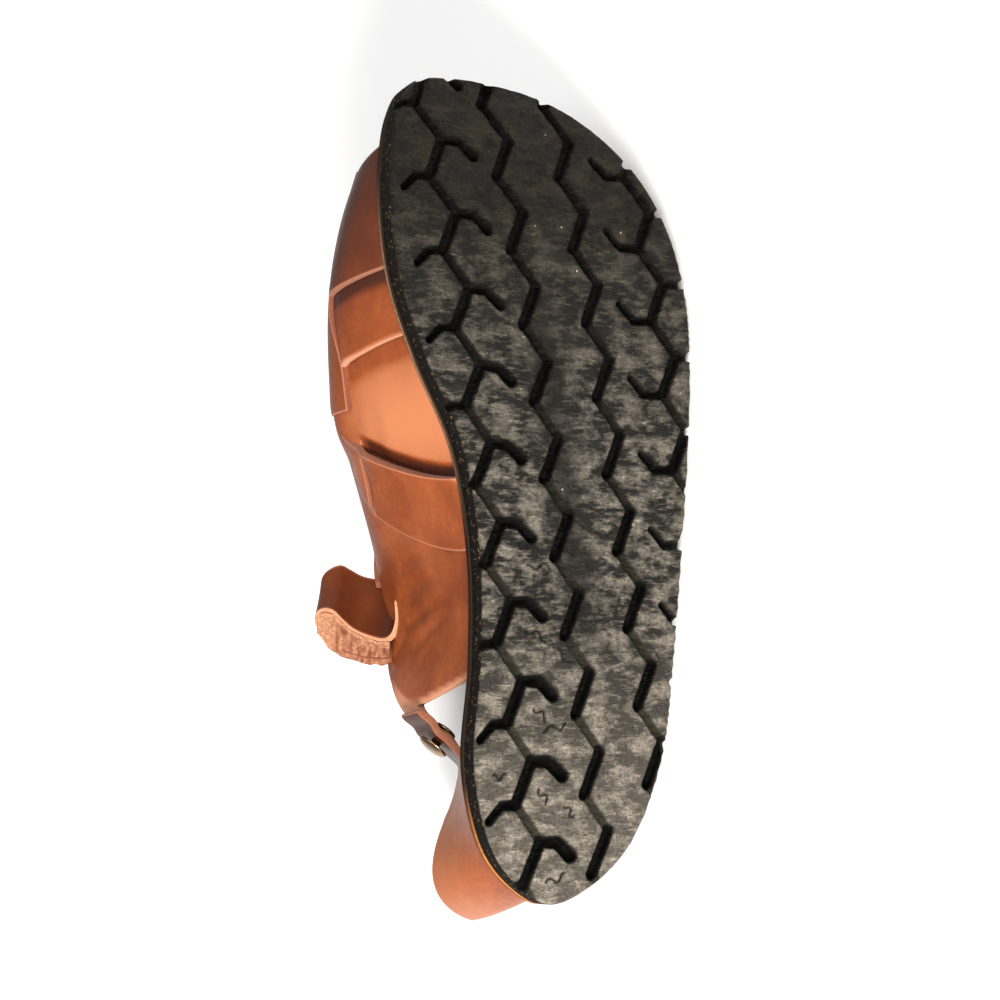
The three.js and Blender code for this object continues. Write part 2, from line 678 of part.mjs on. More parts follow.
const shoe = new THREE.Group();
for (const [name, solid] of Object.entries(solids)) {
  const material = new THREE.MeshStandardMaterial(looks[name] ?? looks.metal);
  const mesh = new THREE.Mesh(geometryOf(solid), material);
  mesh.name = name;
  shoe.add(mesh);
}

// Facet of the hull that the shoe lies on when it is laid on its outer side, under its centre of weight.
const WEIGHT_CENTRE = new THREE.Vector3(151, 5, 21);
const LEAST_SIDEWAYS = 0.6;
function restingFacet() {
  const points = [];
  for (const mesh of shoe.children) {
    const position = mesh.geometry.attributes.position;
    for (let i = 0; i < position.count; i += 1) {
      points.push(new THREE.Vector3().fromBufferAttribute(position, i));
    }
  }
  const hull = new ConvexHull().setFromPoints(points);
  let best = null;
  for (const face of hull.faces) {
    if (face.normal.y < LEAST_SIDEWAYS || face.normal.z < 0) continue;
    const inside = [face.edge, face.edge.next, face.edge.prev].every((edge) => {
      const along = edge.head().point.clone().sub(edge.tail().point);
      const out = along.cross(face.normal);
      return WEIGHT_CENTRE.clone().sub(edge.tail().point).dot(out) <= 0;
    });
    if (inside && (!best || face.normal.y > best.normal.y)) best = face;
  }
  return best.normal.clone();
}

// Lay the shoe down: that facet on the floor, the toe towards +X, the origin under the middle.
const down = restingFacet();
const forward = new THREE.Vector3(1, 0, 0).addScaledVector(down, -down.x).normalize();
const up = down.clone().negate();
const leftward = up.clone().cross(forward);
const lay = new THREE.Matrix4().makeBasis(forward, leftward, up).transpose();
shoe.quaternion.setFromRotationMatrix(lay);
shoe.updateMatrixWorld(true);
const box = new THREE.Box3().setFromObject(shoe, true);
const middle = box.getCenter(new THREE.Vector3());
shoe.position.set(-middle.x, -middle.y, -box.min.z);

export default shoe;
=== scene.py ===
"""Looks of the left fisherman sandal: waxed tan leather straps on a sole cut from a tyre tread.

Shapes are worked out in millimetres in the shoe's own frame (x heel to toe, y inner to outer side, z up from
the tread), then laid down with the shoe, on its outer side, in metres.
"""
import json
import math

import bmesh
import bpy
import numpy as np
from mathutils import Matrix, Vector, kdtree, noise


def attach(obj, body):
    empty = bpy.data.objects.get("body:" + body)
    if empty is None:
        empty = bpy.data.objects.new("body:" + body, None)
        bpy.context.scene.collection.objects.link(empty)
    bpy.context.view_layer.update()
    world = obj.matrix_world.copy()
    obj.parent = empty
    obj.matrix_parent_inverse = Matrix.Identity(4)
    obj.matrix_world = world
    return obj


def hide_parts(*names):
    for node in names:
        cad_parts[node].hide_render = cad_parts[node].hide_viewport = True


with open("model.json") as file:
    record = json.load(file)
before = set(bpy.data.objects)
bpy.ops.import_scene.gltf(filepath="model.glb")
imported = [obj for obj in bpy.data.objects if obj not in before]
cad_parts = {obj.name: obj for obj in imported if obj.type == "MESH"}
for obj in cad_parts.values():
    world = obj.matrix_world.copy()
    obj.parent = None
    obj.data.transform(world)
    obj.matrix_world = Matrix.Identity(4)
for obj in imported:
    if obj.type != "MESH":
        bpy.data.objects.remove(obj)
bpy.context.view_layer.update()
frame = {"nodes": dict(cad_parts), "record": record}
MM = 0.001

# Sole
LENGTH = 280
OUTSOLE = 7.5
MIDSOLE = 2.7
GAP = 0.3
EDGE_INSET = 1.2
EDGE_UP = 1.6
TOE_SPRING = 11
TOE_SPRING_FROM = 170
HEEL_RISE = 4
HEEL_RISE_TO = 70
HEEL_BACK_Y = -2
TOE_TIP_Y = -25
MIDSOLE_INSET = 0.2
MIDSOLE_TUCK = 0.05
# Place of the tread's mount
TREAD_POINT = (122.3, 18.1, 0)

# Leather
LEATHER = 2.6
SINK = 0.9
ON_TOP = LEATHER - SINK
WING_SINK = 1.5
UPPER_INSET = 3.8
UPPER_FOOT = OUTSOLE + GAP + MIDSOLE + GAP
ROUND_INNER = 0.6
ROUND_OUTER = 0.62
ROUND_HEEL = 0.65
LEAN_HEIGHT = 50
FAN_X = 60
FAN_BLEND = 20
RAMP = 10
SLIT_SPARE = 2
COUNTER_HEIGHT = 45
COUNTER_SEAT = 19
WING_END = 67
WING_LOW = 35
WING_HIGH = 49
WING_SWEEP = 0.75
WING_X = 56
WING_HEIGHT = 36
WING_STAND_OFF = 2.5
RIVET_CAP = 5.5
PANEL_REAR = 46
PANEL_FRONT = 207
STRIP_START = 171.5
STRIP_END = 252
STRIP_LIP = 0.6
INSTEP_WIDTH = 27

# Tyre tread
TREAD_SKEW = math.radians(-5.5)
TREAD_PITCH = 26.3
TREAD_PHASE = 257.6
TREAD_SWING = 3.8
TREAD_ROWS = 11
DEEP_GROOVE = 4.2
GROOVE_WALL = 0.6

# Outline of the sole: x, inner edge, outer edge
OUTLINE = (
    (5, -12.5, 12.7), (18, -24, 28), (45, -30.5, 41), (80, -26.5, 48), (115, -25.3, 53.5), (150, -30, 58.5),
    (180, -42.5, 61.5), (205, -50, 62.2), (230, -51.5, 58), (250, -49.5, 48.5), (266, -45, 32.5),
    (276, -38.5, 12.6),
)

# The last: x, height of its ridge, ridge's place across, lean of the inner and of the outer wall
LAST = (
    (0, 96, -2, 14, 14), (8, 96, -2, 7, 8), (16, 96, -2, -11, 0), (26, 95, -2, -20, -6),
    (40, 94, -2, -21, -10), (60, 92, -2, -4, -12), (70, 91, -2, 2, -13), (80, 89, -2, 3, -13),
    (100, 85, -3, 2, -12), (125, 79, -5, 7, -12), (155, 68, -10, 16, -12), (175, 60, -15, 18, -12),
    (195, 51, -20, 17, -12), (235, 34, -25, 14, -10), (262, 22, -26, 9, -5),
)
RISE, ASIDE, LEAN_INNER, LEAN_OUTER = 1, 2, 3, 4

# Straps: rear and front edge at the inner foot, on the ridge and at the outer foot; how both sweep down;
# whether the rear edge lies over the leather behind; where an edge stands off (edge, across, spread, height);
# tone of the grain, the toe strap's low tone being mostly painted shade; painted light rising towards the
# rear edge; and painted shade on the cut edges
STRAPS = {
    # Toe strap: dark tone mostly painted shade, lighter rear painted light, cut edges darkened as painted
    # shade
    "toe_strap": {
        "inner": (212, 257), "ridge": (206, 243), "outer": (196, 232), "sweep": (1.2, 1.2), "shingle": True,
        "lift": (0, -0.7, 0.3, 0.9), "tone": -0.95, "painted_light": 0.35, "shade_and_dirt": 0.7,
    },
    "second_strap": {
        "inner": (190, 220), "ridge": (176, 208), "outer": (174, 204), "sweep": (1.2, 1.2), "shingle": True,
        "lift": (0, -0.66, 0.18, 1.7), "tone": -0.1, "painted_light": 0, "shade_and_dirt": 0,
    },
    # Third strap: cut edges darkened as painted shade
    "third_strap": {
        "inner": (117, 142), "ridge": (165, 174), "outer": (122, 150), "sweep": (1.2, 1.9), "shingle": False,
        "lift": (1, -0.74, 0.3, 2.4), "tone": 0.05, "painted_light": 0, "shade_and_dirt": 0.75,
    },
}
# Raw lip of the second strap's rear edge, as a share of its width near the foot and higher up
LIP_WIDTH = (0.04, 0.1)
# Painted shade of the straps on the ridge, and painted shadow of the toe strap on the second one, over that
# many millimetres
RIDGE_SHADE = 0.3
TUCK_SHADE = 0.9
TUCK_REACH = 7

# Middle strip: x, and half its width as a share of the way from ridge to foot
STRIP = (
    (133, 0.58), (140, 0.61), (146, 0.64), (160, 0.67), (182, 0.7), (192, 0.67), (207, 0.56), (245, 0.42),
)
# Rear edge of the quarter: share of the way from foot to ridge, and x
QUARTER_EDGE = (
    (0, 75), (0.05, 72), (0.12, 69.5), (0.18, 68.5), (0.24, 70), (0.34, 76), (0.5, 90), (0.75, 111), (1, 128),
)
# Dark spots of the inner quarter: x and spread, across and spread
QUARTER_SPOTS = ((104, 5, -0.78, 0.05), (98, 4, -0.84, 0.04))
# Soft creases of the quarters: from x and across, to x and across, half width and depth
CREASES = (
    (88, -0.8, 97, -0.92, 2.6, 0.4), (97, -0.74, 103, -0.93, 2.2, 0.35), (108, -0.68, 112, -0.9, 3, 0.38),
    (84, -0.62, 92, -0.7, 2.4, 0.35), (118, -0.72, 121, -0.95, 2.6, 0.4), (150, -0.74, 166, -0.8, 4, 0.35),
    (92, 0.75, 101, 0.92, 2.6, 0.5), (106, 0.7, 110, 0.9, 3, 0.45), (150, 0.76, 164, 0.84, 4, 0.35),
)
# Strap that runs back from the quarter: x, height of its middle, half its width
BACK_STRAP = ((46, 36, 6.5), (54, 37, 7), (61, 42, 6.8), (68, 48.5, 6.5), (80, 54, 10), (96, 57, 15))
# Middle of the instep strap: share of its length, x, across
INSTEP = ((0, 108, 0.6), (0.45, 124, 0.08), (0.75, 120, -0.2), (1, 110, -0.42))
INSTEP_ENDS = (0.01, 0.9)

# Rear edge of the instep strap's end, folded back on itself: outwards and ahead, along the grain
FLAP_EDGE = (
    (-2.6, 16.5), (-2.8, 10.4), (-1.4, 5.4), (1.3, 3.5), (6.7, 4.6), (12, 6.9), (16.2, 10.4), (19.3, 13.4),
    (22.4, 14.2), (25, 13.2), (26.2, 10.4), (24.7, 5.7), (21.2, 0.8), (16.6, -2.3), (12, -3.8), (5.8, -5),
    (-1.5, -5),
)
# Rows where the grain layer leaves the shoe and where it has turned back
FLAP_START, FLAP_TURN = 3, 11
# Where that edge starts, its two directions, and the way across the strap
FLAP_AT = np.array((89.5, -24.8, 74.7))
FLAP_OUT = np.array((0.06, -0.833, 0.55))
FLAP_AHEAD = np.array((0.984, -0.043, -0.172))
FLAP_WIDTH = np.array((23.3, 11.3, 14.5))
FLAP_TAPER = 0.25
FLAP_REACH = 26.2
FLAP_CORNER = 7
FLAP_CORNER_CUT = 0.18
FLAP_DROOP = 1.2
FLAP_LAYER = 2.2
# Torn fibres: from and to outwards, depth behind the edge at the bottom and top, roughness and wall
CORE_SPAN = (-0.8, 25.2)
CORE_DEPTH = (-0.03, 0.045)
CORE_ROUGH = 0.014
CORE_WALL = 0.5


def smoothstep(value, low, high):
    t = np.clip((value - low) / (high - low), 0, 1)
    return t * t * (3 - 2 * t)


def spot(value, middle, spread):
    return np.exp(-(((value - middle) / spread) ** 2))


def lerp(start, end, share):
    return start + (end - start) * share


def lookup(table, column, at):
    """Smooth cubic through the rows of a table, whose first column is the place."""
    rows = np.array(table, float)
    key, value = rows[:, 0], rows[:, column]
    count = np.arange(len(key))
    before, after = np.maximum(count - 1, 0), np.minimum(count + 1, len(key) - 1)
    slope = (value[after] - value[before]) / (key[after] - key[before])
    at = np.clip(at, key[0], key[-1])
    i = np.clip(np.searchsorted(key, at) - 1, 0, len(key) - 2)
    span = key[i + 1] - key[i]
    t = (at - key[i]) / span
    bend = slope[i] * t * (1 - t) ** 2 - slope[i + 1] * t * t * (1 - t)
    return lerp(value[i], value[i + 1], t * t * (3 - 2 * t)) + span * bend


def stroke_edge(point, start, end, half_start, half_end):
    """Distance of points from the edge of a stroke, less than 0 inside it."""
    run = end - start
    share = np.clip((point - start) @ run / (run @ run), 0, 1)
    gap = np.linalg.norm(point - start - share[:, None] * run, axis=1)
    return gap - lerp(half_start, half_end, share)


def rocker(x):
    """Height of the tread above the ground: flat under the arch, sprung at toe and heel."""
    toe = np.maximum((x - TOE_SPRING_FROM) / (LENGTH - TOE_SPRING_FROM), 0)
    heel = np.maximum((HEEL_RISE_TO - x) / HEEL_RISE_TO, 0)
    return TOE_SPRING * toe * toe + HEEL_RISE * heel * heel


def lay_of_the_shoe():
    """Turn and place of the shoe's own frame in the row, from the tread's mount."""
    mount = next(m for m in frame["record"]["mounts"] if m["name"] == "tread")
    up = -np.array(mount["axis"])
    ahead = np.cross(up, (0, 1, 0))
    ahead /= np.linalg.norm(ahead)
    turn = np.column_stack([ahead, np.cross(up, ahead), up])
    return turn, np.array(mount["pos_m"]) - turn @ np.array(TREAD_POINT) * MM


TURN, ORIGIN = lay_of_the_shoe()


def laid(points):
    """Points of the shoe, in millimetres, as places in the row, in metres."""
    return np.asarray(points) @ TURN.T * MM + ORIGIN


# The sole's outline, as an inner and an outer branch from heel to toe
EDGE_STEPS = 12


def outline_branches():
    rows = np.array(OUTLINE, float)
    loop = np.vstack([(0, HEEL_BACK_Y), rows[:, [0, 2]], (LENGTH, TOE_TIP_Y), rows[::-1, [0, 1]]])
    before, start, end, after = (np.roll(loop, places, axis=0) for places in (1, 0, -1, -2))
    d0, d1, d2 = (np.sqrt(np.linalg.norm(q - p, axis=1))[:, None]
                  for p, q in ((before, start), (start, end), (end, after)))
    leave = d1 * ((start - before) / d0 - (end - before) / (d0 + d1) + (end - start) / d1)
    arrive = d1 * ((end - start) / d1 - (after - start) / (d1 + d2) + (after - end) / d2)
    square = 3 * (end - start) - 2 * leave - arrive
    cube = 2 * (start - end) + leave + arrive
    steps = [start + leave * t + square * t ** 2 + cube * t ** 3 for t in np.arange(EDGE_STEPS) / EDGE_STEPS]
    points = np.stack(steps, axis=1).reshape(-1, 2)
    points = np.vstack([points, points[:1]])
    half = (len(OUTLINE) + 1) * EDGE_STEPS
    return {-1: points[half:][::-1], 1: points[:half + 1]}


BRANCH = outline_branches()


def edge_y(x, side):
    branch = BRANCH[side]
    return np.interp(x, np.maximum.accumulate(branch[:, 0]), branch[:, 1])


def outline_edge(x, side):
    """Point of the outline that the section at x ends on, and the way out of the sole there."""
    turn = math.pi / 2 * (1 - np.minimum(x, FAN_X) / FAN_X)
    point = np.zeros((len(x), 2))
    out = np.zeros((len(x), 2))
    for sign, branch in BRANCH.items():
        steps = np.arange(len(branch))
        turned = np.arctan2(FAN_X - branch[:, 0], sign * (branch[:, 1] - HEEL_BACK_Y))
        fanned = np.interp(-turn, np.maximum.accumulate(-turned), steps)
        straight = np.interp(x, np.maximum.accumulate(branch[:, 0]), steps)
        step = np.where(x < FAN_X, fanned, straight)
        slope = np.gradient(branch, axis=0)
        here = side == sign
        for axis in (0, 1):
            point[here, axis] = np.interp(step, steps, branch[:, axis])[here]
        out[here, 0] = -sign * np.interp(step, steps, slope[:, 1])[here]
        out[here, 1] = sign * np.interp(step, steps, slope[:, 0])[here]
    return point, out / np.linalg.norm(out, axis=1)[:, None]


def roundness(x, side):
    return lerp(ROUND_HEEL, np.where(side < 0, ROUND_INNER, ROUND_OUTER), np.clip(np.abs(x) / FAN_X, 0, 1))


def last_point(x, across):
    """Points on the last: across is -1 at the inner foot, 0 on the ridge and 1 at the outer foot."""
    across = np.where(x < 0, -across, across)
    x = np.abs(x)
    side = np.where(across < 0, -1, 1)
    centre = np.column_stack([np.maximum(x, FAN_X), lookup(LAST, ASIDE, np.maximum(x, FAN_X))])
    turn = math.pi / 2 * (1 - np.minimum(x, FAN_X) / FAN_X)
    direction = np.column_stack([-np.sin(turn), side * np.cos(turn)])
    edge, out = outline_edge(x, side)
    angle = math.pi / 2 * (1 - np.minimum(np.abs(across), 1))
    curve = roundness(x, side)
    inwards = np.maximum(np.cos(angle), 0)
    rise = lookup(LAST, RISE, x) * np.sin(angle) ** curve
    lean = np.where(side < 0, lookup(LAST, LEAN_INNER, x), lookup(LAST, LEAN_OUTER, x))
    reach = (np.linalg.norm(edge - centre, axis=1) - UPPER_INSET - LEATHER) * inwards ** curve
    aside = lerp(direction, out, smoothstep(FAN_X - x, 0, FAN_BLEND)[:, None])
    aside /= np.linalg.norm(aside, axis=1)[:, None]
    flat = centre + direction * reach[:, None]
    flat += aside * (lean * rise * np.sqrt(inwards) / LEAN_HEIGHT)[:, None]
    return np.column_stack([flat, rocker(edge[:, 0]) + UPPER_FOOT + rise])


PROBE_X = 0.5
PROBE_ACROSS = 0.01


def last_normal(x, across):
    along = last_point(x + PROBE_X, across) - last_point(x - PROBE_X, across)
    over = (last_point(x, np.minimum(across + PROBE_ACROSS, 1))
            - last_point(x, np.maximum(across - PROBE_ACROSS, -1)))
    normal = np.cross(along, over)
    return normal / np.linalg.norm(normal, axis=1)[:, None]


def skin(x, across, low):
    """Outer face of leather whose inner face lies that far outside the last. Its foot stands on the sole."""
    points = last_point(x, across)
    foot = points[:, 2] - GAP
    points = points + last_normal(x, across) * (np.zeros(len(x)) + low + LEATHER)[:, None]
    points[:, 2] = np.where(np.abs(across) >= 1, foot, points[:, 2])
    return points


def share_at(x, height, side):
    """Share of the way from foot to ridge at which the last reaches a height."""
    part = np.clip(height / lookup(LAST, RISE, np.abs(x)), 0, 1)
    return np.arcsin(part ** (1 / roundness(x, side))) / (math.pi / 2)


# Meshes: a flat grid over the unit square, moved into place by a function
def flat_grid(columns, rows):
    bm = bmesh.new()
    bmesh.ops.create_grid(bm, x_segments=columns, y_segments=rows, size=0.5)
    bmesh.ops.translate(bm, verts=bm.verts, vec=(0.5, 0.5, 0))
    return bm


def flat_places(bm):
    return np.array([v.co for v in bm.verts]).T


def bend(bm, surface):
    """Moves the vertices to where the surface puts them, and keeps the marks that it gives each."""
    points, marks = surface(*flat_places(bm))
    layers = {name: bm.verts.layers.float.new(name) for name in marks}
    for i, (vert, place) in enumerate(zip(bm.verts, laid(points))):
        vert.co = place
        for name, layer in layers.items():
            vert[layer] = marks[name][i]


def mark_edges(bm):
    """Distance of each vertex from the cut edge of its sheet, in millimetres."""
    layer = bm.verts.layers.float.new("from_edge")
    rim = [v for v in bm.verts if v.is_boundary]
    tree = kdtree.KDTree(len(rim))
    for i, vert in enumerate(rim):
        tree.insert(vert.co, i)
    tree.balance()
    for vert in bm.verts:
        vert[layer] = tree.find(vert.co)[2] / MM


def stand(name, data):
    """A new object in the scene."""
    thing = bpy.data.objects.new(name, data)
    bpy.context.scene.collection.objects.link(thing)
    return thing


def stand_mesh(name, bm, materials):
    mesh = bpy.data.meshes.new(name)
    bm.to_mesh(mesh)
    bm.free()
    mesh.shade_smooth()
    for material in materials:
        mesh.materials.append(material)
    return stand(name, mesh)


def make_piece(name, bm, materials, node):
    piece = stand_mesh(name, bm, materials)
    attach(piece, "root")
    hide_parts(node)
    return piece


RIM_ROUND = 0.5
RIM_ANGLE = math.radians(50)


def leather_piece(name, bm, thickness=LEATHER):
    """A sheet of leather with its wall: grain outside, flesh inside, cut edge round the rim."""
    mark_edges(bm)
    piece = make_piece(name, bm, (GRAIN, FLESH, CUT_EDGE), "upper")
    wall = piece.modifiers.new("wall", "SOLIDIFY")
    wall.thickness = thickness * MM
    wall.offset = -1
    wall.material_offset = 1
    wall.material_offset_rim = 2
    rim = piece.modifiers.new("rim", "BEVEL")
    rim.width = RIM_ROUND * MM
    rim.segments = 2
    rim.limit_method = "ANGLE"
    rim.angle_limit = RIM_ANGLE
    return piece


# Materials
def paint(code):
    """Linear colour of an sRGB hex value."""
    shares = [int(code[i:i + 2], 16) / 255 for i in (1, 3, 5)]
    return [c / 12.92 if c <= 0.04045 else ((c + 0.055) / 1.055) ** 2.4 for c in shares] + [1]


def per(size):
    """Texture scale for a feature of that size in millimetres."""
    return 1 / (size * MM)


def feed(tree, node, links):
    """Gives each named input of a node its value, or the output that it takes."""
    for key, value in links.items():
        if isinstance(value, bpy.types.NodeSocket):
            tree.links.new(value, node.inputs[key])
        else:
            node.inputs[key].default_value = value


def add(tree, kind, links, out=0, **settings):
    """Adds a node with its settings and links, and gives back one of its outputs."""
    node = tree.nodes.new("ShaderNode" + kind)
    for name, value in settings.items():
        setattr(node, name, value)
    feed(tree, node, links)
    return node.outputs[out]


# Colour sockets of the Mix node
MIX_A, MIX_B, MIXED = 6, 7, 2
COLOUR = {"out": MIXED, "data_type": "RGBA"}


def new_material(name):
    material = bpy.data.materials.new(name)
    material.use_nodes = True
    tree = material.node_tree
    return material, tree, tree.nodes["Principled BSDF"], add(tree, "TexCoord", {}, "Object")


def waxed_grain():
    """Vegetable-tanned cowhide, waxed and worn: warm tan with cloudy patches, fine pores and a soft shine;
    its tone mark adds painted light and shade, and dark stains.
    """
    material, tree, shader, place = new_material("waxed_tan_leather")
    tone, rim, bare = (
        add(tree, "Attribute", {}, "Fac", attribute_name=name) for name in ("tone", "from_edge", "bare")
    )
    patch = add(tree, "TexNoise", {"Vector": place, "Scale": per(15), "Detail": 3})
    mottle = add(tree, "TexNoise", {"Vector": place, "Scale": per(2.5), "Detail": 4})
    patch = add(tree, "MapRange", {"Value": patch, "From Min": 0.35, "From Max": 0.65})
    specks = add(tree, "MapRange", {"Value": mottle, "From Min": 0.3, "From Max": 0.7, "To Max": 0.35})
    dark = add(tree, "MapRange", {"Value": tone, "From Min": 0, "From Max": -1})
    near = add(tree, "MapRange", {"Value": rim, "From Max": 0.9, "To Min": 0.75, "To Max": 0})
    near = add(tree, "Math", {0: near, 1: bare}, operation="MAXIMUM")
    tan = add(tree, "Mix", {0: patch, MIX_A: paint("#763615"), MIX_B: paint("#8D4720")}, **COLOUR)
    tan = add(tree, "Mix", {0: specks, MIX_A: tan, MIX_B: paint("#632A0D")}, **COLOUR)
    # Tone above 0: painted light
    tan = add(tree, "Mix", {0: tone, MIX_A: tan, MIX_B: paint("#B3724E")}, **COLOUR)
    # Tone below 0: painted shade and shadow, and dark stains
    tan = add(tree, "Mix", {0: dark, MIX_A: tan, MIX_B: paint("#3A1608")}, **COLOUR)
    tan = add(tree, "Mix", {0: near, MIX_A: tan, MIX_B: paint("#B4785A")}, **COLOUR)
    # Real pores are about 0.3 mm apart; they are drawn at 0.9 mm, so that they show
    pores = add(tree, "TexVoronoi", {"Vector": place, "Scale": per(0.9)}, feature="DISTANCE_TO_EDGE")
    wrinkle = add(tree, "TexNoise", {"Vector": place, "Scale": per(6), "Detail": 3})
    grain = add(tree, "Math", {0: wrinkle, 1: 3, 2: pores}, operation="MULTIPLY_ADD")
    bump = add(tree, "Bump", {"Height": grain, "Strength": 0.18, "Distance": 0.25 * MM})
    gloss = add(tree, "MapRange", {"Value": mottle, "To Min": 0.38, "To Max": 0.58})
    feed(tree, shader, {"Base Color": tan, "Roughness": gloss, "Normal": bump, "Specular IOR Level": 0.32})
    return material


def napped(name, size, low, high, dark, pale, depth):
    """Fibres of the hide: tufts of that size in millimetres, pale above dark hollows whose dark is partly
    painted shade, without shine.
    """
    material, tree, shader, place = new_material(name)
    shade_and_dirt = add(tree, "Attribute", {}, "Fac", attribute_name="shade_and_dirt")
    nap = add(tree, "TexNoise", {"Vector": place, "Scale": per(size), "Detail": 6, "Roughness": 0.6})
    share = add(tree, "MapRange", {"Value": nap, "From Min": low, "From Max": high})
    fibres = add(tree, "Mix", {0: share, MIX_A: paint(dark), MIX_B: paint(pale)}, **COLOUR)
    # Darker where the mark says: mostly painted shade on edges and flesh in shadow, also brown streaks in
    # torn fibres
    fibres = add(tree, "Mix", {0: shade_and_dirt, MIX_A: fibres, MIX_B: paint("#6A2F16")}, **COLOUR)
    bump = add(tree, "Bump", {"Height": nap, "Strength": 0.6, "Distance": depth * MM})
    feed(tree, shader, {"Base Color": fibres, "Roughness": 0.9, "Normal": bump, "Sheen Weight": 0.15})
    return material


def tyre_rubber():
    """Moulded tyre rubber, worn on the road: charcoal blocks scuffed grey, grooves black with painted shade,
    cords in its wall.

    Its patterns follow the sole's own marks, which are in millimetres, so a scale is 1 / size.
    """
    material, tree, shader, _ = new_material("worn_tyre_rubber")
    marks = ("sole_x", "sole_y", "shallow", "deep", "sipe", "wall", "run", "up", "polished")
    along, side, shallow, deep, sipe, wall, run, up, polished = (
        add(tree, "Attribute", {}, "Fac", attribute_name=name) for name in marks
    )
    flat = add(tree, "CombineXYZ", {"X": along, "Y": side})
    streak = add(tree, "VectorMath", {0: flat, 1: (1, 0.25, 1)}, operation="MULTIPLY")
    smear = add(tree, "VectorMath", {0: flat, 1: (1, 0.6, 1)}, operation="MULTIPLY")
    grit = add(tree, "TexNoise", {"Vector": flat, "Scale": 1 / 1.3, "Detail": 6, "Roughness": 0.75})
    patch = add(tree, "TexNoise", {"Vector": smear, "Scale": 1 / 6, "Detail": 5, "Roughness": 0.6})
    scratch = add(tree, "TexNoise", {"Vector": streak, "Scale": 1 / 1.6, "Detail": 5, "Roughness": 0.65})
    gritty = add(tree, "MapRange", {"Value": grit, "From Min": 0.36, "From Max": 0.6, "To Min": 0.4})
    rubbed = add(tree, "MapRange", {"Value": patch, "From Min": 0.46, "From Max": 0.62, "To Max": 0.55})
    scraped = add(tree, "MapRange", {"Value": scratch, "From Min": 0.5, "From Max": 0.66, "To Max": 0.6})
    # More scuffing towards the heel: partly wear, partly painted light
    heel = add(tree, "MapRange", {"Value": along, "From Min": 95, "From Max": 25, "To Max": 0.25})
    worn = add(tree, "Math", {0: rubbed, 1: scraped}, operation="ADD")
    scuffed = add(tree, "Math", {0: worn, 1: heel}, operation="ADD")
    scuffed = add(tree, "Math", {0: scuffed, 1: gritty}, operation="MULTIPLY", use_clamp=True)
    spared = add(tree, "MapRange", {"Value": polished, "To Min": 1, "To Max": 0.2})
    scuffed = add(tree, "Math", {0: scuffed, 1: spared}, operation="MULTIPLY")
    # Scuffed grey paler at the heel and darker at the toe: partly wear, partly painted light and shade
    toe = add(tree, "MapRange", {"Value": along, "From Min": 140, "From Max": 235})
    dark = add(tree, "Mix", {0: toe, MIX_A: paint("#12100C"), MIX_B: paint("#0C0905")}, **COLOUR)
    grey = add(tree, "Mix", {0: toe, MIX_A: paint("#9E9588"), MIX_B: paint("#352E20")}, **COLOUR)
    block = add(tree, "Mix", {0: scuffed, MIX_A: dark, MIX_B: grey}, **COLOUR)
    fleck = add(tree, "TexVoronoi", {"Vector": flat, "Scale": 1 / 4.5})
    fleck = add(tree, "MapRange", {"Value": fleck, "From Min": 0.1, "From Max": 0.06})
    stuck = add(tree, "MapRange", {"Value": patch, "From Min": 0.56, "From Max": 0.6})
    fleck = add(tree, "Math", {0: fleck, 1: stuck}, operation="MULTIPLY")
    block = add(tree, "Mix", {0: fleck, MIX_A: block, MIX_B: paint("#B9AE98")}, **COLOUR)
    # Painted shade in the shallow grooves: near black at the toe, lighter at the heel
    olive = add(tree, "MapRange", {"Value": along, "From Min": 200, "From Max": 50})
    hollow = add(tree, "Mix", {0: olive, MIX_A: paint("#060403"), MIX_B: paint("#2B2820")}, **COLOUR)
    groove = add(tree, "Mix", {0: shallow, MIX_A: block, MIX_B: hollow}, **COLOUR)
    # Painted shade in the deep grooves and the fine cuts, near black
    groove = add(tree, "Mix", {0: deep, MIX_A: groove, MIX_B: paint("#030201")}, **COLOUR)
    groove = add(tree, "Mix", {0: sipe, MIX_A: groove, MIX_B: paint("#060504")}, **COLOUR)
    around = add(tree, "CombineXYZ", {"X": run, "Y": up})
    cord = add(tree, "TexVoronoi", {"Vector": around, "Scale": 1 / 1.7})
    cord = add(tree, "MapRange", {"Value": cord, "From Min": 0.26, "From Max": 0.18})
    cords = add(tree, "Mix", {0: cord, MIX_A: paint("#0F0904"), MIX_B: paint("#6B5438")}, **COLOUR)
    rubber = add(tree, "Mix", {0: wall, MIX_A: groove, MIX_B: cords}, **COLOUR)
    height = add(tree, "Math", {0: worn, 1: 1.5, 2: grit}, operation="MULTIPLY_ADD")
    bump = add(tree, "Bump", {"Height": height, "Strength": 1, "Distance": 1.1 * MM})
    gloss = add(tree, "MapRange", {"Value": scuffed, "To Min": 0.36, "To Max": 0.7})
    gloss = add(tree, "Math", {0: gloss, 1: wall}, operation="MAXIMUM")
    feed(tree, shader, {"Base Color": rubber, "Roughness": gloss, "Normal": bump, "Specular IOR Level": 0.15})
    return material


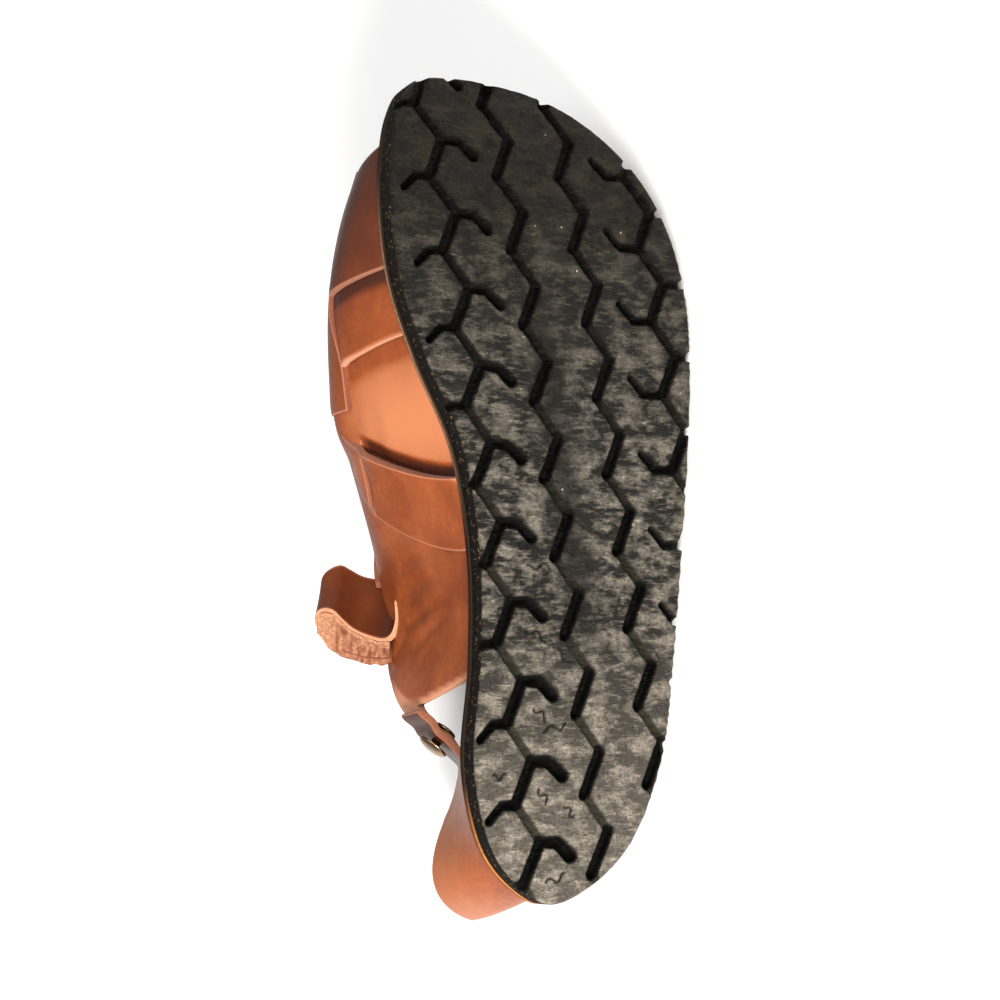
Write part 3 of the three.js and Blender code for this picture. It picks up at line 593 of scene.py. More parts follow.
def raw_edge_leather():
    """Cut sole leather: dark with wear, a raw tan lip from waist to ball, frayed orange at the heel."""
    material, tree, shader, place = new_material("raw_midsole_leather")
    along = add(tree, "Attribute", {}, "Fac", attribute_name="sole_x")
    up = add(tree, "Attribute", {}, "Fac", attribute_name="up")
    fibre = add(tree, "TexNoise", {"Vector": place, "Scale": per(1.5), "Detail": 5})
    heel = add(tree, "MapRange", {"Value": along, "From Min": 40, "From Max": 15})
    tan = add(tree, "Mix", {0: fibre, MIX_A: paint("#806044"), MIX_B: paint("#C0A084")}, **COLOUR)
    frayed = add(tree, "Mix", {0: fibre, MIX_A: paint("#6E3A18"), MIX_B: paint("#C98446")}, **COLOUR)
    clean = add(tree, "MapRange", {"Value": along, "From Min": 120, "From Max": 165})
    toe = add(tree, "MapRange", {"Value": along, "From Min": 245, "From Max": 215})
    lip = add(tree, "MapRange", {"Value": up, "From Min": 1.7, "From Max": 2.3})
    clean = add(tree, "Math", {0: clean, 1: toe}, operation="MULTIPLY")
    clean = add(tree, "Math", {0: clean, 1: lip}, operation="MULTIPLY")
    edge = add(tree, "Mix", {0: clean, MIX_A: paint("#2A1D12"), MIX_B: tan}, **COLOUR)
    edge = add(tree, "Mix", {0: heel, MIX_A: edge, MIX_B: frayed}, **COLOUR)
    bump = add(tree, "Bump", {"Height": fibre, "Strength": 0.5, "Distance": 0.5 * MM})
    feed(tree, shader, {"Base Color": edge, "Roughness": 0.85, "Normal": bump, "Specular IOR Level": 0.1})
    return material


def worn_footbed():
    """Smooth leather footbed, burnished by the foot: broad dark stains and fine pores."""
    material, tree, shader, place = new_material("footbed_leather")
    stain = add(tree, "TexNoise", {"Vector": place, "Scale": per(28), "Detail": 3})
    stain = add(tree, "MapRange", {"Value": stain, "From Min": 0.35, "From Max": 0.65})
    pore = add(tree, "TexNoise", {"Vector": place, "Scale": per(1), "Detail": 5})
    brown = add(tree, "Mix", {0: stain, MIX_A: paint("#6A3E20"), MIX_B: paint("#A8703F")}, **COLOUR)
    bump = add(tree, "Bump", {"Height": pore, "Strength": 0.3, "Distance": 0.3 * MM})
    feed(tree, shader, {"Base Color": brown, "Roughness": 0.6, "Normal": bump})
    return material


def antique_brass():
    """Cast brass with a dark patina, rubbed bright in small spots."""
    material, tree, shader, place = new_material("antique_brass")
    rub = add(tree, "TexNoise", {"Vector": place, "Scale": per(2), "Detail": 4})
    brass = add(tree, "Mix", {0: rub, MIX_A: paint("#4A382A"), MIX_B: paint("#A98E6E")}, **COLOUR)
    bump = add(tree, "Bump", {"Height": rub, "Strength": 0.2, "Distance": 0.2 * MM})
    feed(tree, shader, {"Base Color": brass, "Metallic": 1, "Roughness": 0.32, "Normal": bump})
    return material


GRAIN = waxed_grain()
FLESH = napped("leather_flesh_side", 1.2, 0.2, 0.8, "#4E2814", "#8E5A36", 0.5)
FIBRE = napped("torn_leather_fibre", 0.9, 0.25, 0.72, "#7A4A2E", "#BE8A68", 1.2)
CUT_EDGE = napped("leather_cut_edge", 0.8, 0.2, 0.8, "#8E5232", "#CC9472", 0.4)
RUBBER = tyre_rubber()
RAW_EDGE = raw_edge_leather()
FOOTBED = worn_footbed()
BRASS = antique_brass()


# Upper
def bent_sheet(name, columns, rows, surface, thickness=LEATHER):
    bm = flat_grid(columns, rows)
    bend(bm, surface)
    return leather_piece(name, bm, thickness)


def strap_edge(strap, end, across):
    foot = np.where(across < 0, strap["inner"][end], strap["outer"][end])
    return lerp(strap["ridge"][end], foot, np.abs(across) ** strap["sweep"][end])


def in_strip(x, across):
    """1 under the middle strip, 0 beside it, with a soft step at the slits."""
    half = lookup(STRIP, 1, x)
    return 1 - smoothstep(np.abs(across), half - 0.02, half + 0.06)


def beside(x, across, name, end, reach):
    """1 right beside a strap's edge, on the leather next to it, and 0 that many millimetres away."""
    away = x - strap_edge(STRAPS[name], end, across)
    away = away if end else -away
    return smoothstep(away, -2, -1) * (1 - smoothstep(away, 0.4 * reach, reach)) * (1 - in_strip(x, across))


def strap_piece(name):
    strap = STRAPS[name]

    def surface(a, b, level):
        across = 2 * b - 1
        x = lerp(strap_edge(strap, 0, across), strap_edge(strap, 1, across), a)
        over = 1 - a if strap["shingle"] else 1
        end, middle, spread, height = strap["lift"]
        near = a if end else 1 - a
        low = ON_TOP * over * (1 - in_strip(x, across)) + height * spot(across, middle, spread) * near ** 3
        # Painted shade towards the ridge, painted light towards the rear edge
        tone = strap["tone"] - RIDGE_SHADE * smoothstep(np.abs(across), 0.9, 0.6) + strap["painted_light"] * (1 - a)
        bare = 0 * a
        if name == "second_strap":
            # Painted shadow of the toe strap's rear edge on the second strap
            tone = tone - TUCK_SHADE * beside(x, across, "toe_strap", 0, TUCK_REACH)
            lip = lerp(*LIP_WIDTH, smoothstep(across, -0.85, -0.6))
            bare = smoothstep(a, lip, 0.3 * lip) * smoothstep(across, -0.5, -0.58)
        return skin(x, across, low), {"tone": tone, "shade_and_dirt": strap["shade_and_dirt"] + 0 * a, "bare": bare}

    return bent_sheet(name, 36, 240, surface)


# Main piece: its grid, with the slits between the sides and the middle
MAIN_ROWS = 140
MAIN_SIDE = 64
MAIN_MIDDLE = 72
SLIT_AT = MAIN_SIDE / (2 * MAIN_SIDE + MAIN_MIDDLE)
# Its cut edge: fillet at the back strap, millimetres from ridge to foot, and how the cut is pulled there
FILLET = 2
GIRTH = 120
EDGE_SLANT = 0.8
JUST_ABOVE_FOOT = 0.999
PROBE = 0.2
PULL_WITHIN = 3
PULL_ROUNDS = 8
LEAST_SLOPE = 0.2
RIM_MERGE = 0.35
# Its surface: ridge beside a crease, dip before the third strap, lip over the slit; then painted light on the
# panel, painted shade on the ridge, dark spots, painted shadow beside the third and second straps, and
# painted shade in the slits
CREASE_RIDGE = 0.35
CREASE_RIDGE_AT = 1.8
STRAP_DIP = 1.2
DIP_REACH = 6
SLIT_LIP = 4
PANEL_PAINTED_LIGHT = 0.75
RIDGE_PAINTED_SHADE = 0.2
SPOT_SHADE = 0.35
DIP_SHADE = 1.6
REAR_SHADE = 0.5
REAR_REACH = 10
SLIT_PAINTED_SHADE = 0.8


def main_place(a, b):
    """Place on the last of a point of the main piece's grid, whose columns follow the slits."""
    x = lerp(PANEL_REAR, PANEL_FRONT, a)
    half = lookup(STRIP, 1, x)
    inner = -1 + (1 - half) * b / SLIT_AT
    middle = half * (2 * (b - SLIT_AT) / (1 - 2 * SLIT_AT) - 1)
    outer = half + (1 - half) * (b - 1 + SLIT_AT) / SLIT_AT
    return x, np.where(b < SLIT_AT, inner, np.where(b > 1 - SLIT_AT, outer, middle))


def main_inside(x, across):
    """How far a place lies inside the quarter or the strap that runs back from it, in millimetres."""
    side = np.where(across < 0, -1, 1)
    up = np.clip(1 - np.abs(across), 0, 1)
    quarter = EDGE_SLANT * (x - lookup(QUARTER_EDGE, 1, up))
    height = lookup(LAST, RISE, x) * np.sin(math.pi / 2 * up) ** roundness(x, side)
    back = lookup(BACK_STRAP, 2, x) - np.abs(height - lookup(BACK_STRAP, 1, x))
    back = np.where(x > BACK_STRAP[-1][0], -FILLET, back)
    meet = np.maximum(FILLET - np.abs(quarter - back), 0)
    return np.maximum(quarter, back) + meet * meet / (4 * FILLET)


def trim_main(bm):
    """Cuts the flat grid along the quarter's edge, pulls the cut onto it and gives back its indices."""
    bm.faces.ensure_lookup_table()
    centres = np.array([f.calc_center_median()[:2] for f in bm.faces])
    outside = [bm.faces[i] for i in np.flatnonzero(main_inside(*centres.T) < 0)]
    bmesh.ops.delete(bm, geom=outside, context="FACES")
    bm.verts.index_update()
    rim = [v for v in bm.verts
           if v.is_boundary and abs(v.co.y) < JUST_ABOVE_FOOT and v.co.x > PANEL_REAR + PROBE]
    spots = np.array([v.co[:2] for v in rim])
    cut = np.abs(main_inside(*spots.T)) < PULL_WITHIN
    for _ in range(PULL_ROUNDS):
        off = main_inside(*spots.T)
        ahead = main_inside(spots[:, 0] + PROBE, spots[:, 1]) - off
        over = main_inside(spots[:, 0], spots[:, 1] + PROBE / GIRTH) - off
        slope = np.column_stack([ahead, over]) / PROBE
        step = -off[:, None] * slope / np.maximum((slope ** 2).sum(axis=1), LEAST_SLOPE)[:, None]
        spots = spots + cut[:, None] * np.clip(step, -1, 1) * (1, 1 / GIRTH)
    for vert, (x, across) in zip(rim, spots):
        vert.co.x, vert.co.y = x, across
    return [vert.index for vert, near in zip(rim, cut) if near]


def creased(x, across):
    """Depth of the creases at a place, with a slight ridge beside each."""
    point = np.column_stack([x, across * GIRTH])
    depth = 0 * x
    for x0, across0, x1, across1, half, deep in CREASES:
        start, end = np.array((x0, across0 * GIRTH)), np.array((x1, across1 * GIRTH))
        away = stroke_edge(point, start, end, 0, 0) / half
        depth = depth + deep * (spot(away, 0, 1) - CREASE_RIDGE * spot(away, CREASE_RIDGE_AT, 1))
    return depth


def main_surface(x, across, raised):
    third = STRAPS["third_strap"]
    ridge_rear, ridge_front = third["ridge"]
    rise = smoothstep(x, ridge_rear - RAMP, ridge_rear + SLIT_SPARE)
    rise = rise * (1 - smoothstep(x, ridge_front - SLIT_SPARE, ridge_front + RAMP))
    rear, front = strap_edge(third, 0, across), strap_edge(third, 1, across)
    lip = smoothstep(x, rear - SLIT_SPARE, rear + SLIT_LIP)
    lip = lip * (1 - smoothstep(x, front - SLIT_LIP, front + SLIT_SPARE))
    inside = smoothstep(1 - np.abs(across) / lookup(STRIP, 1, x), 0, 0.3)
    dip = beside(x, across, "third_strap", 1, DIP_REACH)
    low = ON_TOP * raised * lerp(lip, rise, inside) - STRAP_DIP * dip - creased(x, across)
    foot = smoothstep(np.abs(across), 0.5, 0.88)
    # Painted light on the panel low down, painted shade on the ridge
    tone = PANEL_PAINTED_LIGHT * spot(x, 162, 26) * foot - RIDGE_PAINTED_SHADE * spot(x, 118, 14) * (1 - foot)
    for middle, spread, place, reach in QUARTER_SPOTS:
        tone = tone - SPOT_SHADE * spot(x, middle, spread) * spot(across, place, reach)
    # Painted shadow before the third strap's front edge and behind the second strap's rear edge
    tone = tone - DIP_SHADE * dip - REAR_SHADE * beside(x, across, "second_strap", 0, REAR_REACH)
    # Painted shade on the cut edges in the slits
    slit = spot(np.abs(across), lookup(STRIP, 1, x), 0.03)
    inside_edge = x - lookup(QUARTER_EDGE, 1, 1 - np.abs(across))
    bare = smoothstep(inside_edge, 2.2, 0.8) * smoothstep(np.abs(across), 0.62, 0.72)
    return skin(x, across, low), {"tone": tone, "shade_and_dirt": SLIT_PAINTED_SHADE * slit, "bare": bare}


def main_piece():
    """Side panels, quarters and middle in one piece, slit where the third strap dives under the middle."""
    bm = flat_grid(MAIN_ROWS, 2 * MAIN_SIDE + MAIN_MIDDLE)
    middle = {f for f in bm.faces if SLIT_AT < f.calc_center_median().y < 1 - SLIT_AT}
    lines = [e for e in bm.edges if sum(f in middle for f in e.link_faces) == 1 and len(e.link_faces) == 2]
    for vert, x, across in zip(bm.verts, *main_place(*flat_places(bm)[:2])):
        vert.co = (x, across, 0)
    third = STRAPS["third_strap"]
    slits = []
    for edge in lines:
        x, across, _ = (edge.verts[0].co + edge.verts[1].co) / 2
        if strap_edge(third, 0, across) - SLIT_SPARE < x < strap_edge(third, 1, across) + SLIT_SPARE:
            slits.append(edge)
    bmesh.ops.split_edges(bm, edges=slits)
    for vert in bm.verts:
        vert.co.z = all(f in middle for f in vert.link_faces)
    spare = [f for f in middle if f.calc_center_median().x > STRIP_START + RAMP]
    bmesh.ops.delete(bm, geom=spare, context="FACES")
    rim = trim_main(bm)
    bend(bm, main_surface)
    bm.verts.ensure_lookup_table()
    bmesh.ops.remove_doubles(bm, verts=[bm.verts[i] for i in rim], dist=RIM_MERGE * MM)
    return leather_piece("main_piece", bm)


def strip_piece():
    """The strip over the two front straps."""
    def surface(a, b, level):
        x = lerp(STRIP_START, STRIP_END, a)
        across = lookup(STRIP, 1, x) * (2 * b - 1)
        low = lerp(ON_TOP + STRIP_LIP, ON_TOP, smoothstep(x, STRIP_START, STRIP_START + RAMP))
        # Grain darker towards the toe end; painted shade on its cut edges
        return skin(x, across, low), {"tone": -0.25 - 0.4 * a, "shade_and_dirt": 0 * a + 0.9}

    return bent_sheet("middle_strip", 80, 72, surface)


# Counter: painted light at its back, painted shade on its wings and on their cut edges
COUNTER_PAINTED_LIGHT = 0.45
WING_SHADE = 1.1
WING_EDGE_SHADE = 0.75


def counter_piece():
    """Heel counter: seated round the back, rising into a wing along each side."""
    def surface(a, b, level):
        place = WING_END * (2 * b - 1)
        x = np.abs(place)
        side = np.where(place < 0, -1, 1)
        wing = np.clip((x - COUNTER_SEAT) / (WING_END - COUNTER_SEAT), 0, 1)
        height = lerp(WING_LOW * wing ** WING_SWEEP, lerp(COUNTER_HEIGHT, WING_HIGH, wing), a)
        across = side * (1 - share_at(x, height, side))
        off = WING_STAND_OFF * smoothstep(x, WING_X + RIVET_CAP, WING_END)
        low = (LEATHER - WING_SINK) * smoothstep(x, 40, 52) + off
        # Painted light low at the back, painted shade on the wings
        painted_light = COUNTER_PAINTED_LIGHT * smoothstep(x, 34, 8) * smoothstep(a, 0.1, 0.9)
        tone = painted_light - WING_SHADE * smoothstep(x, 30, 46)
        return skin(x, across, low), {"tone": tone, "shade_and_dirt": WING_EDGE_SHADE * smoothstep(x, 34, 46)}

    return bent_sheet("heel_counter", 44, 220, surface)


def instep_piece():
    """Instep strap, over the ridge from one quarter to the other."""
    def on(way):
        return lookup(INSTEP, 1, way), lookup(INSTEP, 2, way)

    def surface(a, b, level):
        way = lerp(*INSTEP_ENDS, a)
        along = last_point(*on(way + PROBE_ACROSS)) - last_point(*on(way - PROBE_ACROSS))
        aside = np.cross(last_normal(*on(way)), along)
        aside /= np.linalg.norm(aside, axis=1)[:, None]
        front = INSTEP_WIDTH * (0.5 - 0.45 * smoothstep(way, 0.5, 0.85))
        place = lerp(-INSTEP_WIDTH / 2, front, b)
        return skin(*on(way), ON_TOP) + aside * place[:, None], {"tone": 0 * a - 0.4, "shade_and_dirt": 0 * a + 0.9}

    return bent_sheet("instep_strap", 120, 28, surface)


def flap_point(out, ahead, across):
    """A place on the folded strap end: outwards and ahead along its edge, and a share of its width."""
    share = across * (1 - FLAP_TAPER * np.clip(out / FLAP_REACH, 0, 1))
    return FLAP_AT + out[:, None] * FLAP_OUT + ahead[:, None] * FLAP_AHEAD + share[:, None] * FLAP_WIDTH


FLAP_ROWS = np.array(FLAP_EDGE)
FLAP_RUN = np.concatenate([[0], np.cumsum(np.linalg.norm(np.diff(FLAP_ROWS, axis=0), axis=1))])
FLAP_TABLE = np.column_stack([FLAP_RUN / FLAP_RUN[-1], FLAP_ROWS])
FLAP_FOLD = FLAP_TABLE[FLAP_TURN, 0]


def flap_piece():
    """Free end of the instep strap, folded back on itself and standing off the inner quarter."""
    def surface(a, b, level):
        out = lookup(FLAP_TABLE, 1, a)
        ahead = lookup(FLAP_TABLE, 2, a)
        width = 1 - b
        corner = spot(out, FLAP_REACH, FLAP_CORNER) * smoothstep(width, 0.55, 1) * FLAP_CORNER_CUT
        droop = FLAP_DROOP * np.sin(math.pi * width) * smoothstep(out, 4, 20)
        # Painted shade over the folded end, darkest at its root
        tone = -0.5 - 0.4 * spot(out, 0, 6)
        # Painted shade on the turned-back layer's flesh and edge
        shade_and_dirt = 0.85 * smoothstep(a, FLAP_FOLD, FLAP_FOLD + 0.08)
        return flap_point(out, ahead - droop, width - corner), {"tone": tone, "shade_and_dirt": shade_and_dirt}

    return bent_sheet("strap_end", 150, 40, surface, FLAP_LAYER)


def lumps(*places):
    """Smooth noise at each place."""
    return np.array([noise.noise(place) for place in zip(*np.broadcast_arrays(*places))])


def flap_core():
    """Torn fibres at the edge of the folded end, between its grain layer and its back."""
    upper, lower = FLAP_ROWS[FLAP_START:FLAP_TURN - 1], FLAP_ROWS[:FLAP_TURN - 1:-1]

    def surface(a, b, level):
        out = lerp(*CORE_SPAN, a)
        top = np.interp(out, upper[:, 0], upper[:, 1]) - FLAP_LAYER
        bottom = np.interp(out, lower[:, 0], lower[:, 1]) - 0.1
        rough = lumps(12 * a, 11 * b, 0) + lumps(9 * a, 3 * b, 5)
        depth = lerp(*CORE_DEPTH, smoothstep(b, 0.3, 0.85)) + CORE_ROUGH * rough
        streak = lumps(20 * a, 4 * b + 7 * a, 3)
        # Brown streaks among the fibres, partly painted shade in their hollows
        brown = smoothstep(out, 22, 17) * smoothstep(b, 0.98, 0.8) * np.clip(0.5 + streak, 0.1, 0.95)
        return flap_point(out, lerp(np.minimum(bottom, top), top, b), depth), {"shade_and_dirt": brown}

    bm = flat_grid(130, 40)
    bend(bm, surface)
    piece = make_piece("strap_end_fibres", bm, (FIBRE,), "upper")
    piece.modifiers.new("wall", "SOLIDIFY").thickness = CORE_WALL * MM
    return piece


# Sole: the tread's columns, with the hooks that branch off at their bends
TREAD_COLUMNS = (
    {"across": -8.6, "inner": ((0.3, -5), (-4, -10.3)), "outer": ((-1, 6.5), (-6, 10.8))},
    {"across": 17.4},
    {"across": 42.1},
    {"across": 69.1, "inner": ((0.3, -7.5), (6.3, -12)), "outer": ((0, 14),)},
)
# First bend, counted from the toe, so that the columns start ahead of it
FIRST_BEND = -3
# Half widths at heel and toe of the long strokes, the narrow strokes between them and the hooks
STROKE = (1.8, 1.6)
NARROW = (1.1, 1.35)
HOOK = (1.55, 1.15)
# Width of a hook's tip as a share of its root
HOOK_TIP = {"inner": 0.75, "outer": 1.4}
# Depth of the narrow strokes at heel and toe
NARROW_DEPTH = (1.3, 3.4)
FAR = 99.0

# Blocks: how far their edges are worn down and over what width, how far their faces are, and the height and
# size of the lumps on them
BLOCK_ROUND = 0.4
BLOCK_SHOULDER = 2.4
BLOCK_WORN = 0.2
WEAR = ((0.35, 14), (0.42, 4.5), (0.26, 1.8))
# Band that the road has polished: its middle and spread across the tyre
POLISHED_ACROSS = 20.5
POLISHED_SPREAD = 8

# Fine wavy cuts in the blocks: from and to
SIPES = (
    (63.6, -8.1, 60.3, -3.2), (56.4, -4.6, 57.9, 3.7), (41.9, -23.9, 41.7, -19.2), (37.3, -7.3, 33.3, -3.7),
    (31.9, 2.8, 28.2, 6), (7.3, -4.8, 8.9, 2.6), (110.3, -7.9, 110.4, 0.8), (89.5, -9.4, 86.2, -2.2),
    (84, 0.6, 77.8, 7.3), (117.5, -11.2, 116.1, -7.6), (214.7, -8.4, 214.7, -4.3),
)
SIPE_WAVE = 1.3
SIPE_TURNS = 1.3
SIPE_SHIFT = 0.3
SIPE_STEPS = 13
SIPE_HALF = 0.4
SIPE_DEPTH = 0.5


def tread_strokes():
    """Strokes of the grooves, along and across the tyre: start, end, half width at both, and whether deep."""
    strokes = []
    for column in TREAD_COLUMNS:
        bends = []
        for row in range(FIRST_BEND, 2 * TREAD_ROWS + 1):
            side = "inner" if row % 2 else "outer"
            swing = -TREAD_SWING if row % 2 else TREAD_SWING
            here = np.array([TREAD_PHASE - row * TREAD_PITCH / 2, column["across"] + swing])
            bends.append(here)
            if side in column:
                path = [here, *(here + np.array(step) for step in column[side])]
                half = lerp(*HOOK, here[0] / LENGTH)
                ends = np.linspace(half, half * HOOK_TIP[side], len(path))
                strokes += zip(path, path[1:], ends, ends[1:], [True] * len(path))
        for i, (start, end) in enumerate(zip(bends, bends[1:])):
            deep = i % 2 == 1
            half = lerp(*(STROKE if deep else NARROW), start[0] / LENGTH)
            strokes.append((start, end, half, half, deep))
    return strokes


def tyre_place(x, y):
    """Place along and across the tyre that the sole is cut from."""
    along = x * math.cos(TREAD_SKEW) + y * math.sin(TREAD_SKEW)
    return along, y * math.cos(TREAD_SKEW) - x * math.sin(TREAD_SKEW)


def groove_edges(x, y):
    """Distance from the edge of the narrow strokes and from that of the deep ones, less than 0 inside."""
    point = np.column_stack(tyre_place(x, y))
    edge = {deep: np.full(len(x), FAR) for deep in (False, True)}
    for start, end, half_start, half_end, deep in tread_strokes():
        edge[deep] = np.minimum(edge[deep], stroke_edge(point, start, end, half_start, half_end))
    return edge[False], edge[True]


def sipe_cuts(x, y):
    """1 in the fine cuts, 0 beside them."""
    point = np.column_stack([x, y])
    nearest = np.full(len(x), FAR)
    for i, (x0, y0, x1, y1) in enumerate(SIPES):
        start, run = np.array((x0, y0)), np.array((x1 - x0, y1 - y0))
        aside = np.array((-run[1], run[0])) / np.linalg.norm(run) * SIPE_WAVE
        way = np.linspace(0, 1, SIPE_STEPS)
        swing = np.sin(2 * math.pi * (SIPE_TURNS * way + SIPE_SHIFT * i)) * (0.6 + 0.4 * way)
        wave = start + way[:, None] * run + swing[:, None] * aside
        for first, second in zip(wave, wave[1:]):
            nearest = np.minimum(nearest, stroke_edge(point, first, second, SIPE_HALF, SIPE_HALF))
    return 1 - smoothstep(nearest, -0.3, 0.35)


def sole_slab(stations, columns):
    """A closed slab over the unit square, with its underside cut into columns."""
    bm = flat_grid(stations, 1)
    made = bmesh.ops.extrude_face_region(bm, geom=bm.faces[:])["geom"]
    top = [v for v in made if isinstance(v, bmesh.types.BMVert)]
    bmesh.ops.translate(bm, verts=top, vec=(0, 0, 1))
    ribs = [e for e in bm.edges if all(v.co.z < 0.5 for v in e.verts)
            and abs(e.verts[0].co.y - e.verts[1].co.y) > 0.5]
    if columns > 1:
        bmesh.ops.subdivide_edges(bm, edges=ribs, cuts=columns - 1, use_grid_fill=True)
    return bm


SLAB_MERGE = 1e-7


def close_slab(bm):
    bmesh.ops.remove_doubles(bm, verts=bm.verts, dist=SLAB_MERGE)
    bmesh.ops.recalc_face_normals(bm, faces=bm.faces)


END_CROWDING = 0.25


def sole_place(a, b, inset):
    """Place on the sole of a point of its grid, whose stations crowd at heel and toe."""
    x = lerp(inset, LENGTH - inset, lerp(a, (1 - np.cos(math.pi * a)) / 2, END_CROWDING))
    inner = edge_y(x, -1) + inset
    outer = edge_y(x, 1) - inset
    middle = lerp(HEEL_BACK_Y, TOE_TIP_Y, x / LENGTH)
    return x, lerp(np.minimum(inner, middle), np.maximum(outer, middle), b)


RIM_STEPS = 4


def outline_place(x, y):
    """Distance from the sole's outline, and the way along it to the nearest point."""
    rim = np.vstack([BRANCH[-1], BRANCH[1][::-1]])
    share = np.arange(RIM_STEPS)[:, None] / RIM_STEPS
    dense = np.vstack([lerp(p, q, share) for p, q in zip(rim, rim[1:])])
    run = np.concatenate([[0], np.cumsum(np.linalg.norm(np.diff(dense, axis=0), axis=1))])
    tree = kdtree.KDTree(len(dense))
    for i, (px, py) in enumerate(dense):
        tree.insert((px, py, 0), i)
    tree.balance()
    found = [tree.find((px, py, 0)) for px, py in zip(x, y)]
    return np.array([f[2] for f in found]), run[[f[1] for f in found]]


AT_RIM = 1e-4


def outsole_piece():
    """Rubber sole: worn blocks between the grooves, rounded along its cut wall."""
    def surface(a, b, level):
        x, y = sole_place(a, b, 0)
        from_rim, run = outline_place(x, y)
        edges = groove_edges(x, y)
        shallow, deep = (1 - smoothstep(edge, -GROOVE_WALL, GROOVE_WALL) for edge in edges)
        # Where the grooves get their painted shade: floors and walls
        dark_shallow, dark_deep = (1 - smoothstep(edge, 0.2, 0.9) for edge in edges)
        sipe = sipe_cuts(x, y)
        cut = np.maximum(lerp(*NARROW_DEPTH, x / LENGTH) * shallow, DEEP_GROOVE * deep)
        crown = BLOCK_ROUND * (1 - smoothstep(np.minimum(*edges), 0, BLOCK_SHOULDER)) + BLOCK_WORN
        wear = sum(height * lumps(x / size, y / size, 0) for height, size in WEAR)
        bevel = EDGE_UP * (1 - np.clip(from_rim / EDGE_INSET, 0, 1)) ** 1.3
        face = np.maximum(cut, crown + SIPE_DEPTH * sipe) + wear * (1 - np.maximum(shallow, deep))
        top = level > 0.5
        up = np.where(top, OUTSOLE, np.maximum(np.maximum(bevel, face), 0))
        inside = np.minimum(np.minimum(a, 1 - a), np.minimum(b, 1 - b))
        wall = np.where(top | (inside < AT_RIM), 1, 0)
        polished = spot(tyre_place(x, y)[1], POLISHED_ACROSS, POLISHED_SPREAD)
        polished = polished * smoothstep(x, 60, 110) * smoothstep(x, 225, 185)
        marks = {"shallow": dark_shallow, "deep": np.where(wall, 0, dark_deep), "sipe": sipe, "wall": wall}
        marks |= {"up": up, "run": run, "sole_x": x, "sole_y": y, "polished": polished}
        return np.column_stack([x, y, rocker(x) + up]), marks

    bm = sole_slab(480, 192)
    bend(bm, surface)
    close_slab(bm)
    return make_piece("tyre_outsole", bm, (RUBBER,), "outsole")


def midsole_piece():
    """Leather layer that fills the gaps to the rubber and to the upper."""
    def surface(a, b, level):
        x, y = sole_place(a, b, MIDSOLE_INSET)
        up = np.where(level > 0.5, UPPER_FOOT, OUTSOLE) - MIDSOLE_TUCK
        return np.column_stack([x, y, rocker(x) + up]), {"sole_x": x, "up": up - OUTSOLE}

    bm = sole_slab(300, 1)
    bend(bm, surface)
    close_slab(bm)
    return make_piece("leather_midsole", bm, (RAW_EDGE,), "midsole")


# Rivets of the heel wings: radius and height of the disc inside, radius of the shank, and the cap's dome,
# each point of it a share of the cap's radius and a height
RIVET_SIDES = 40
RIVET_DISC = ((0, -0.9), (3.9, -0.9), (4.2, -0.6), (4.2, 0))
RIVET_SHANK = 1.8
RIVET_DOME = ((1, 0), (1, 0.45), (0.94, 0.8), (0.78, 1.3), (0.5, 1.7), (0.22, 1.86), (0, 1.9))
RIVET_MERGE = 1e-4


def rivet_piece(name, side):
    x = np.array([float(WING_X)])
    across = side * (1 - share_at(x, WING_HEIGHT, np.array([side])))
    seat, axis = last_point(x, across)[0], last_normal(x, across)[0]
    low = -2 * GAP
    high = 2 * LEATHER + 2 * GAP
    profile = [(radius, low + height) for radius, height in RIVET_DISC]
    profile += [(RIVET_SHANK, low), (RIVET_SHANK, high)]
    profile += [(RIVET_CAP * share, high + height) for share, height in RIVET_DOME]
    bm = bmesh.new()
    line = [bm.verts.new((radius, 0, height)) for radius, height in profile]
    joints = [bm.edges.new(pair) for pair in zip(line, line[1:])]
    bmesh.ops.spin(bm, geom=line + joints, cent=(0, 0, 0), axis=(0, 0, 1), angle=2 * math.pi,
                   steps=RIVET_SIDES, use_merge=True)
    bmesh.ops.remove_doubles(bm, verts=bm.verts, dist=RIVET_MERGE)
    bmesh.ops.recalc_face_normals(bm, faces=bm.faces)
    turn = Vector((0, 0, 1)).rotation_difference(Vector(TURN @ axis)).to_matrix().to_4x4()
    place = Matrix.Translation(laid(seat)) @ turn @ Matrix.Scale(MM, 4)
    bmesh.ops.transform(bm, matrix=place, verts=bm.verts)
    return make_piece(name + "_cap", bm, (BRASS,), name)


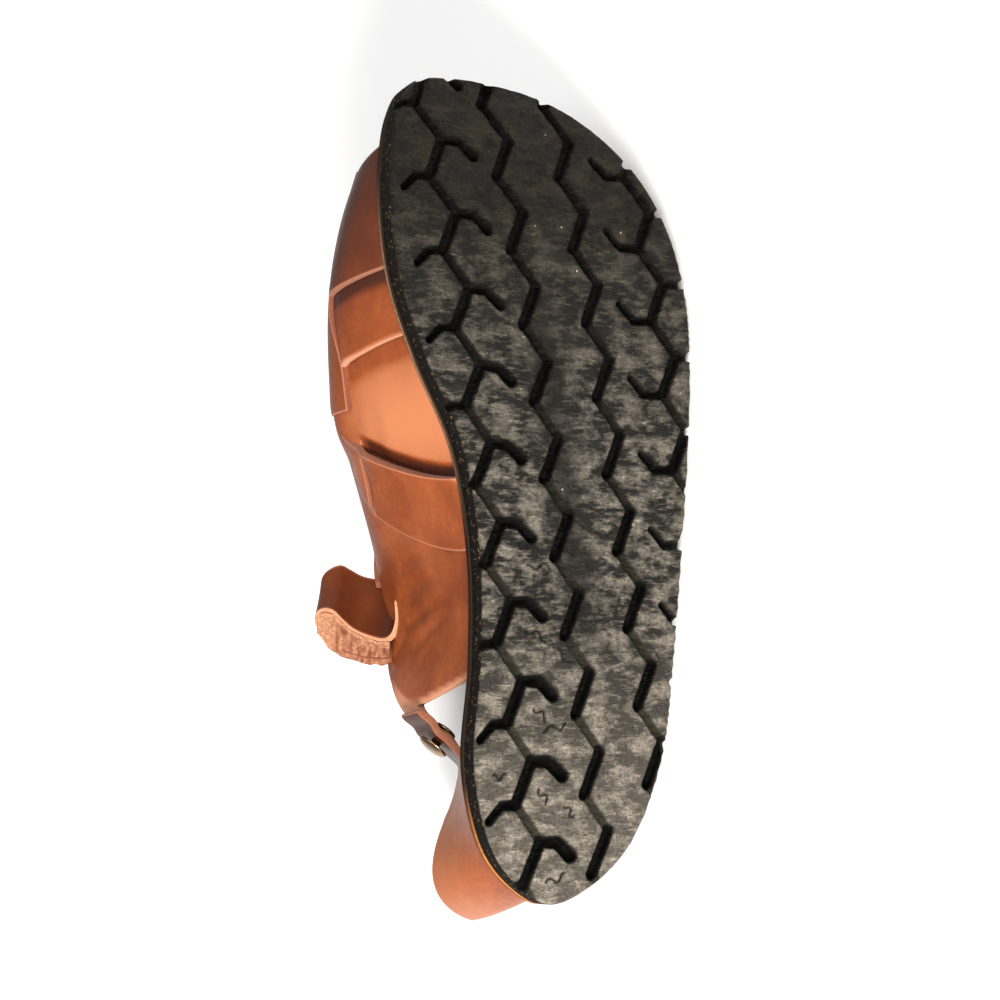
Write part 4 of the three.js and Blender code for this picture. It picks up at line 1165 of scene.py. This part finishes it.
main_piece()
strip_piece()
for strap_name in STRAPS:
    strap_piece(strap_name)
counter_piece()
instep_piece()
flap_piece()
flap_core()
outsole_piece()
midsole_piece()
rivet_piece("heel_rivet_medial", -1)
rivet_piece("heel_rivet_lateral", 1)
frame["nodes"]["insole"].data.materials.clear()
frame["nodes"]["insole"].data.materials.append(FOOTBED)

# Floor, light and camera, in metres
FLOOR_HALF = 6
FLOOR_WHITE = (0.92, 0.92, 0.92, 1)
SKY_STRENGTH = 0.36
LIGHT_AIM = Vector((0, 0, 0.05))

white, white_tree, white_shader, _ = new_material("white_floor")
feed(white_tree, white_shader, {"Base Color": FLOOR_WHITE, "Roughness": 0.9})
floor_bm = bmesh.new()
bmesh.ops.create_grid(floor_bm, x_segments=1, y_segments=1, size=FLOOR_HALF)
floor = stand_mesh("floor", floor_bm, (white,))

world = bpy.data.worlds.new("studio")
bpy.context.scene.world = world
world.use_nodes = True
feed(world.node_tree, world.node_tree.nodes["Background"], {"Color": (1, 1, 1, 1), "Strength": SKY_STRENGTH})


def soft_light(name, place, size, power, colour):
    data = bpy.data.lights.new(name, "AREA")
    data.size = size
    data.energy = power
    data.color = colour
    lamp = stand(name, data)
    lamp.location = place
    lamp.rotation_euler = (LIGHT_AIM - Vector(place)).to_track_quat("-Z", "Y").to_euler()


soft_light("key", place=(-0.88, -0.8, 0.68), size=0.4, power=35, colour=(1, 0.95, 0.88))
soft_light("fill", place=(0.1, -0.5, 1.5), size=1.0, power=20, colour=(1, 1, 1))

# Camera of the picture, in the shoe's own millimetres
CAMERA_PLACE = (35.1, -346.3, -601.3)
CAMERA_AIM = (133.3, -13.7, 6.7)
PICTURE_UP = (0.9842, -0.0431, -0.1718)
PICTURE_LENS = 75.7
camera_data = bpy.data.cameras.new("camera")
camera_data.lens = PICTURE_LENS
camera_data.sensor_width = 36
camera_data.clip_start = 0.01
camera = stand("camera", camera_data)
bpy.context.scene.camera = camera
eye = Vector(laid(CAMERA_PLACE))
look = (Vector(laid(CAMERA_AIM)) - eye).normalized()
right = look.cross(Vector(TURN @ np.array(PICTURE_UP))).normalized()
axes = Matrix((right, right.cross(look), -look)).transposed().to_4x4()
camera.matrix_world = Matrix.Translation(eye) @ axes
bpy.context.scene.view_settings.view_transform = "Standard"
